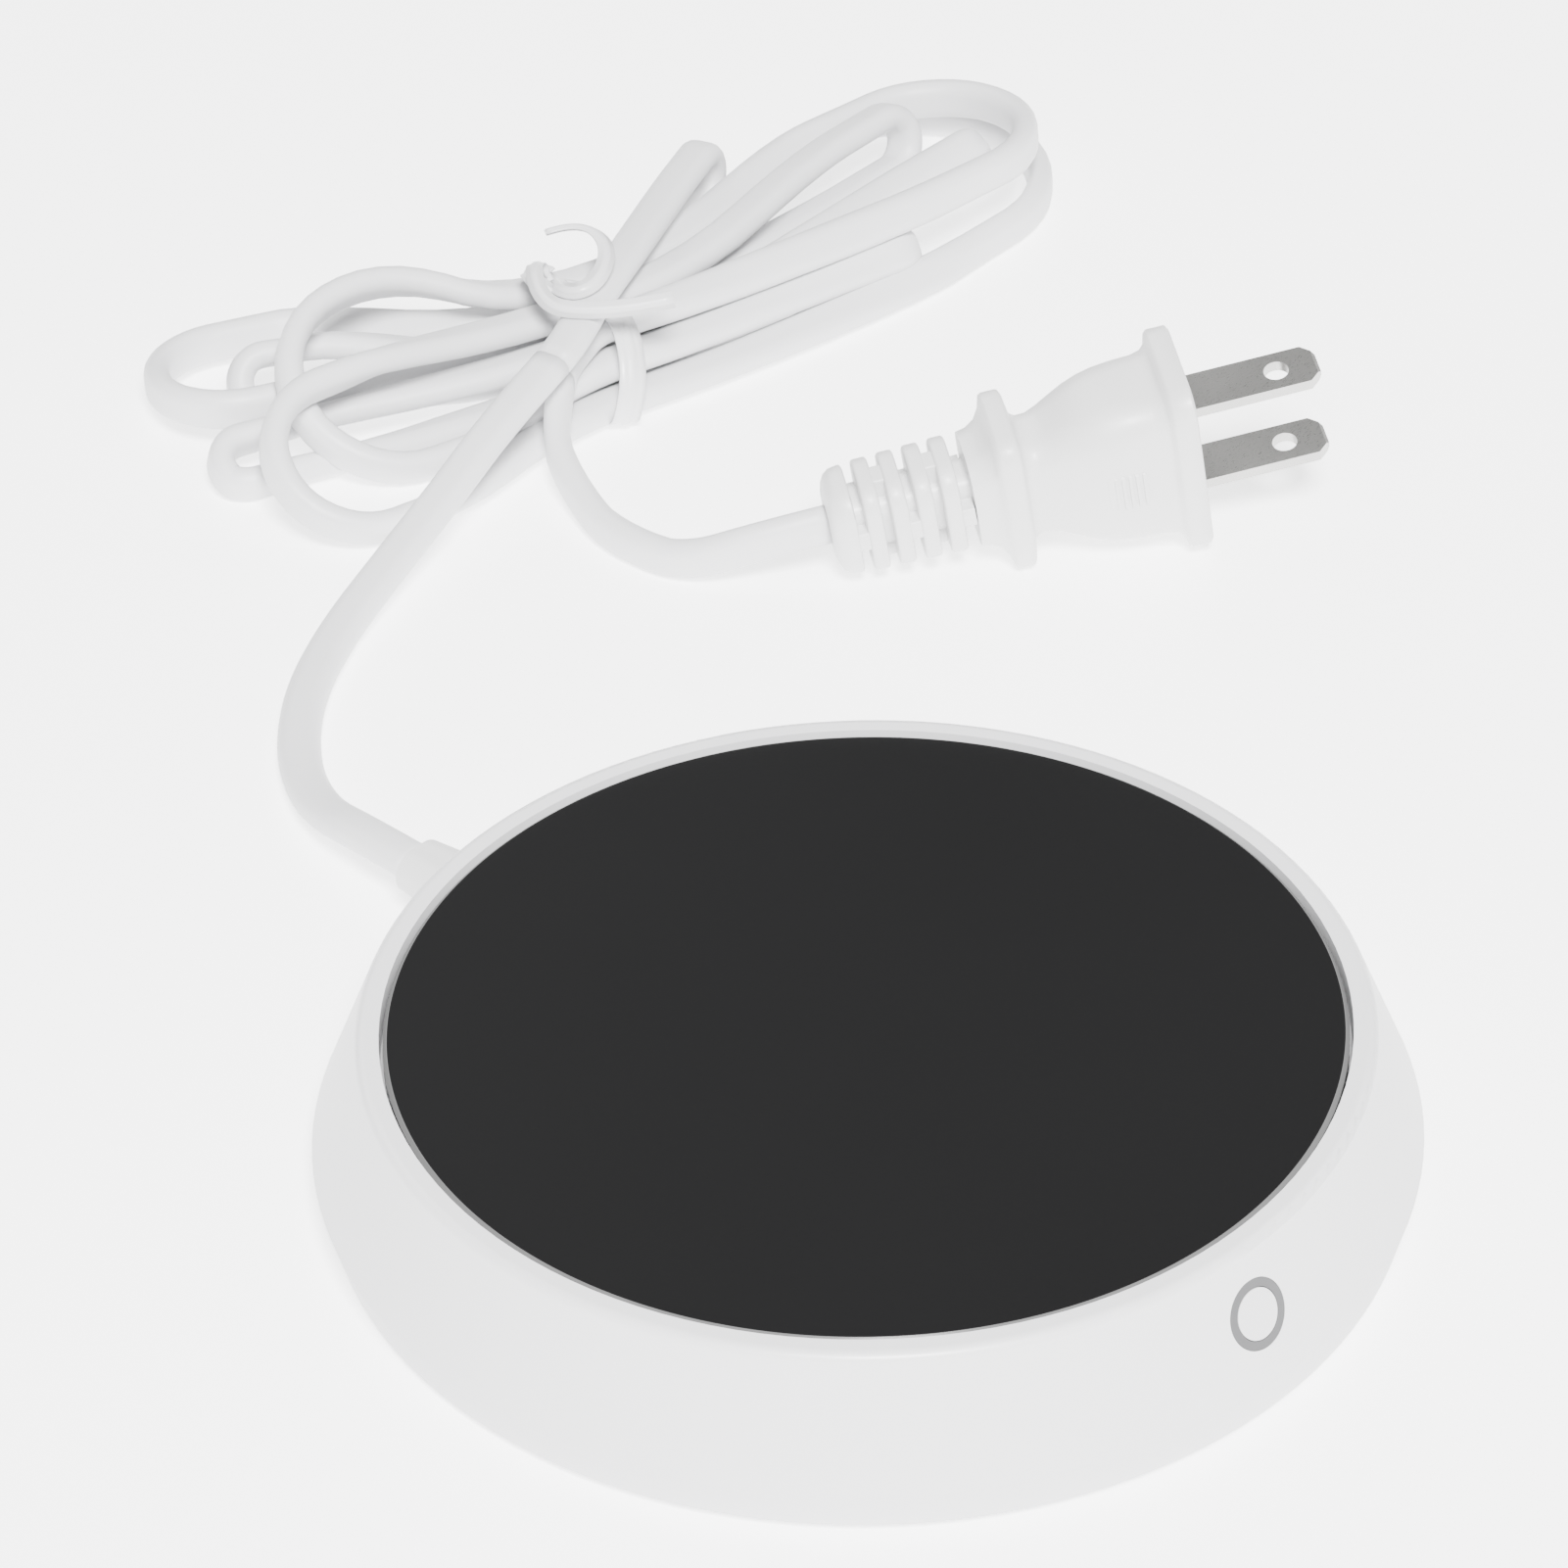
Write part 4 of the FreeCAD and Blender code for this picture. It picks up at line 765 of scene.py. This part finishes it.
def tracked(name, colour, trackColour, pitch=260.0, gap=0.55):
    # a board or film with printed tracks
    finish = Finish(name)
    place = finish.make("TexCoord", {}, {}, "Object")
    wander = finish.noise(place, 90.0, 2.0)
    bands = finish.make("TexWave", {"wave_type": "BANDS", "bands_direction": "X"},
                        {"Vector": place, "Scale": pitch, "Distortion": 2.0, "Detail": 0.0}, "Fac")
    track = bands.above(gap)
    return finish.close(
        Base_Color=finish.mixed(track, finish.mixed(wander, tint(colour, 0.85), tint(colour, 1.15)),
                                tint(trackColour)),
        Roughness=0.45 - track * 0.12 + (wander - 0.5) * 0.1,
        Normal=finish.bump(track, 0.3, 0.00005),
    )


def glassFinish():
    # dark printed glass: matt face with a very fine grain, and a polished chamfer round its edge, its paler
    # colour a painted highlight
    plate = {
        "radius": 53.8 * mm, "chamfer": 0.5 * mm,
        # edge: the chamfer's colour, paler as a painted highlight
        "face": (0.0060, 0.0060, 0.0062), "edge": (0.12, 0.12, 0.12),
    }
    finish = Finish("printed-glass")
    place = finish.make("TexCoord", {}, {}, "Object")
    x = finish.make("SeparateXYZ", {}, {"Vector": place}, "X")
    y = Value(finish.tree, x.socket.node.outputs["Y"])
    square = x * x + y * y
    chamfer_painted_highlight = square.above((plate["radius"] - plate["chamfer"]) ** 2)
    grain = finish.noise(place, 2600.0, 3.0, 0.7)
    cloud = finish.noise(place, 18.0, 3.0)
    face = finish.mixed(grain * 0.6 + cloud * 0.4, tint(plate["face"], 0.85), tint(plate["face"], 1.2))
    return finish.close(
        # the chamfer ring is painted paler as a highlight, and is also made less rough
        Base_Color=finish.mixed(chamfer_painted_highlight, face, tint(plate["edge"])),
        Roughness=0.46 + (grain - 0.5) * 0.2 + (cloud - 0.5) * 0.06 - chamfer_painted_highlight * 0.24,
        Specular_IOR_Level=0.10,
        Normal=finish.bump(grain, 0.12, 0.00004),
    )


def cordFinish(name, colour):
    # satin vinyl jacket with faint drag lines and soft dimples
    finish = Finish(name)
    place = finish.make("TexCoord", {}, {}, "Object")
    cloud = finish.noise(place, 60.0, 3.0)
    dimple = finish.noise(place, 700.0, 3.0, 0.6)
    fine = finish.noise(place, 3800.0, 1.0)
    return finish.close(
        Base_Color=finish.mixed(cloud * 0.7 + dimple * 0.3, tint(colour, 0.965), tint(colour, 1.03)),
        Roughness=0.47 + (dimple - 0.5) * 0.16 + (cloud - 0.5) * 0.08,
        Normal=finish.bump(dimple * 0.6 + fine * 0.4, 0.22, 0.00012),
    )


finishes = {
    "housing": moulded("housing-satin-white", (0.69, 0.69, 0.70), roughness=0.38, grain=2200.0, depth=0.10,
                       spread=0.012, coat=0.12),
    "base": moulded("base-matt-white", (0.65, 0.65, 0.66), roughness=0.5, grain=1600.0, depth=0.25,
                    spread=0.02),
    "glass": glassFinish(),
    "seal": moulded("seal-black-silicone", (0.012, 0.012, 0.013), roughness=0.7, grain=900.0, depth=0.3,
                    spread=0.1),
    "spreader": metal("spreader-brushed-aluminium", (0.72, 0.73, 0.75), roughness=0.3,
                      streak=(1.0, 24.0, 1.0)),
    "element": tracked("element-amber-film", (0.42, 0.17, 0.04), (0.55, 0.33, 0.14), pitch=120.0, gap=0.4),
    "pad": felted("pad-ceramic-felt", (0.74, 0.73, 0.69)),
    "retainer": metal("retainer-zinc-steel", (0.60, 0.61, 0.62), roughness=0.38, streak=(3.0, 1.0, 1.0),
                      grain=500.0),
    "sensor": moulded("sensor-epoxy", (0.02, 0.02, 0.02), roughness=0.35, grain=800.0, depth=0.2,
                      spread=0.1),
    "cutoff": metal("cutoff-drawn-can", (0.66, 0.65, 0.62), roughness=0.28, streak=(1.0, 1.0, 12.0)),
    "feet": moulded("feet-grey-rubber", (0.30, 0.30, 0.30), roughness=0.85, grain=1300.0, depth=0.5,
                    spread=0.08, sheen=0.15),
    "screws": metal("screws-zinc", (0.62, 0.62, 0.60), roughness=0.3, streak=(1.0, 1.0, 6.0)),
    "board": tracked("board-green-mask", (0.015, 0.16, 0.06), (0.05, 0.26, 0.10), pitch=320.0, gap=0.6),
    "film_part": moulded("film-capacitor-red", (0.55, 0.08, 0.02), roughness=0.3, grain=700.0, depth=0.15,
                         spread=0.06, coat=0.3),
    "can_part": moulded("can-capacitor-sleeve", (0.02, 0.025, 0.06), roughness=0.3, grain=500.0, depth=0.1,
                        spread=0.1, coat=0.4),
    "black_part": moulded("part-black-epoxy", (0.018, 0.018, 0.018), roughness=0.55, grain=1500.0,
                          depth=0.4, spread=0.12),
    "terminal": moulded("terminal-green", (0.02, 0.20, 0.07), roughness=0.4, grain=900.0, depth=0.2,
                        spread=0.06),
    "ring": moulded("ring-light-grey", (0.075, 0.075, 0.078), roughness=0.42, grain=1400.0, depth=0.08,
                    spread=0.05, coat=0.1),
    "button": moulded("button-satin-white", (0.64, 0.64, 0.65), roughness=0.36, grain=2200.0, depth=0.08,
                      spread=0.015, coat=0.15),
    "leds": moulded("led-clear-lens", (0.78, 0.78, 0.70), roughness=0.12, grain=600.0, depth=0.05,
                    spread=0.04, coat=0.6),
    "grommet": moulded("grommet-soft-white", (0.66, 0.66, 0.66), roughness=0.5, grain=1200.0, depth=0.25,
                       spread=0.02),
    "clamp": moulded("clamp-nylon", (0.70, 0.70, 0.67), roughness=0.45, grain=1200.0, depth=0.2,
                     spread=0.03),
    "cord": cordFinish("lead-satin-vinyl", (0.66, 0.66, 0.67)),
    "core_brown": moulded("core-brown", (0.15, 0.05, 0.02), roughness=0.42, grain=900.0, depth=0.15,
                          spread=0.08),
    "core_blue": moulded("core-blue", (0.03, 0.09, 0.36), roughness=0.42, grain=900.0, depth=0.15,
                         spread=0.08),
    "plug": moulded("plug-satin-vinyl", (0.66, 0.66, 0.66), roughness=0.42, grain=1500.0, depth=0.16,
                    spread=0.018, coat=0.08),
    "blades": metal("blades-nickel", (0.48, 0.475, 0.46), roughness=0.30, streak=(2.0, 14.0, 1.0),
                    grain=700.0, depth=0.15),
    "tie": moulded("tie-thin-vinyl", (0.70, 0.70, 0.71), roughness=0.35, grain=1500.0, depth=0.25,
                   spread=0.02, coat=0.2),
}


def paint(piece, finish):
    piece.data.materials.clear()
    piece.data.materials.append(finish)
    for face in piece.data.polygons:
        face.material_index = 0


slots = {part["node"]: part["material_slot"] for part in frame["record"]["subparts"]}
for name, node in nodes.items():
    paint(node, finishes[slots[name]])
for piece in (hankPiece, leadPiece, tailPiece):
    paint(piece, finishes["cord"])
for piece in (tieBand, tieLoop, tieCurl):
    paint(piece, finishes["tie"])
plugPlates = addPlates(finishes["plug"])
plugPieces = [plugHead, plugGrip, plugCore, plugPlates]
for piece in plugPieces:
    paint(piece, finishes["plug"])
print("finishes set")

# what the pieces ride on and stand for

for piece in [hankPiece, leadPiece, tailPiece, tieBand, tieLoop, tieCurl] + plugPieces:
    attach(piece, "housing")
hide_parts("cord_hank")
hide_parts("cord_lead")
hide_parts("cord_tail")
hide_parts("twist_tie")
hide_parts("plug_body")

# floor and light

studio = {
    "floorTone": (0.95, 0.95, 0.95),
    "floorGlow": 2.2,
    "skyTone": (1.0, 1.0, 1.0),
    "skyStrength": 0.42,
    "lamps": [
        # name, place, aim, size, watts
        ("key", (-0.9, -1.2, 1.9), (0.02, 0.04, 0.0), 0.7, 230.0),
        ("fill", (1.5, -0.4, 1.3), (0.05, 0.05, 0.0), 1.2, 14.0),
        ("back", (0.3, 1.8, 1.6), (0.05, 0.05, 0.0), 1.2, 20.0),
    ],
}


def addFloor():
    finish = Finish("floor-paper")
    place = finish.make("TexCoord", {}, {}, "Object")
    cloud = finish.noise(place, 6.0, 2.0)
    tone = studio["floorTone"]
    material = finish.close(
        Base_Color=finish.mixed(cloud, tint(tone, 0.995), tint(tone, 1.005)), Roughness=0.8,
        Emission_Color=(1.0, 1.0, 1.0, 1.0), Emission_Strength=studio["floorGlow"],
    )
    size = 4.0
    floor = addMesh("floor", [(-size, -size, 0), (size, -size, 0), (size, size, 0), (-size, size, 0)],
                    [(0, 1, 2, 3)], False)
    paint(floor, material)


def addLamps():
    for name, place, aim, size, watts in studio["lamps"]:
        data = bpy.data.lights.new(name, "AREA")
        data.shape = "DISK"
        data.size = size
        data.energy = watts
        lamp = bpy.data.objects.new(name, data)
        bpy.context.scene.collection.objects.link(lamp)
        lamp.location = place
        lamp.rotation_euler = (Vector(aim) - Vector(place)).to_track_quat("-Z", "Y").to_euler()
    world = bpy.data.worlds.new("studio")
    world.use_nodes = True
    world.node_tree.nodes["Background"].inputs["Color"].default_value = studio["skyTone"] + (1.0,)
    world.node_tree.nodes["Background"].inputs["Strength"].default_value = studio["skyStrength"]
    bpy.context.scene.world = world


addFloor()
addLamps()
print("floor and light set")
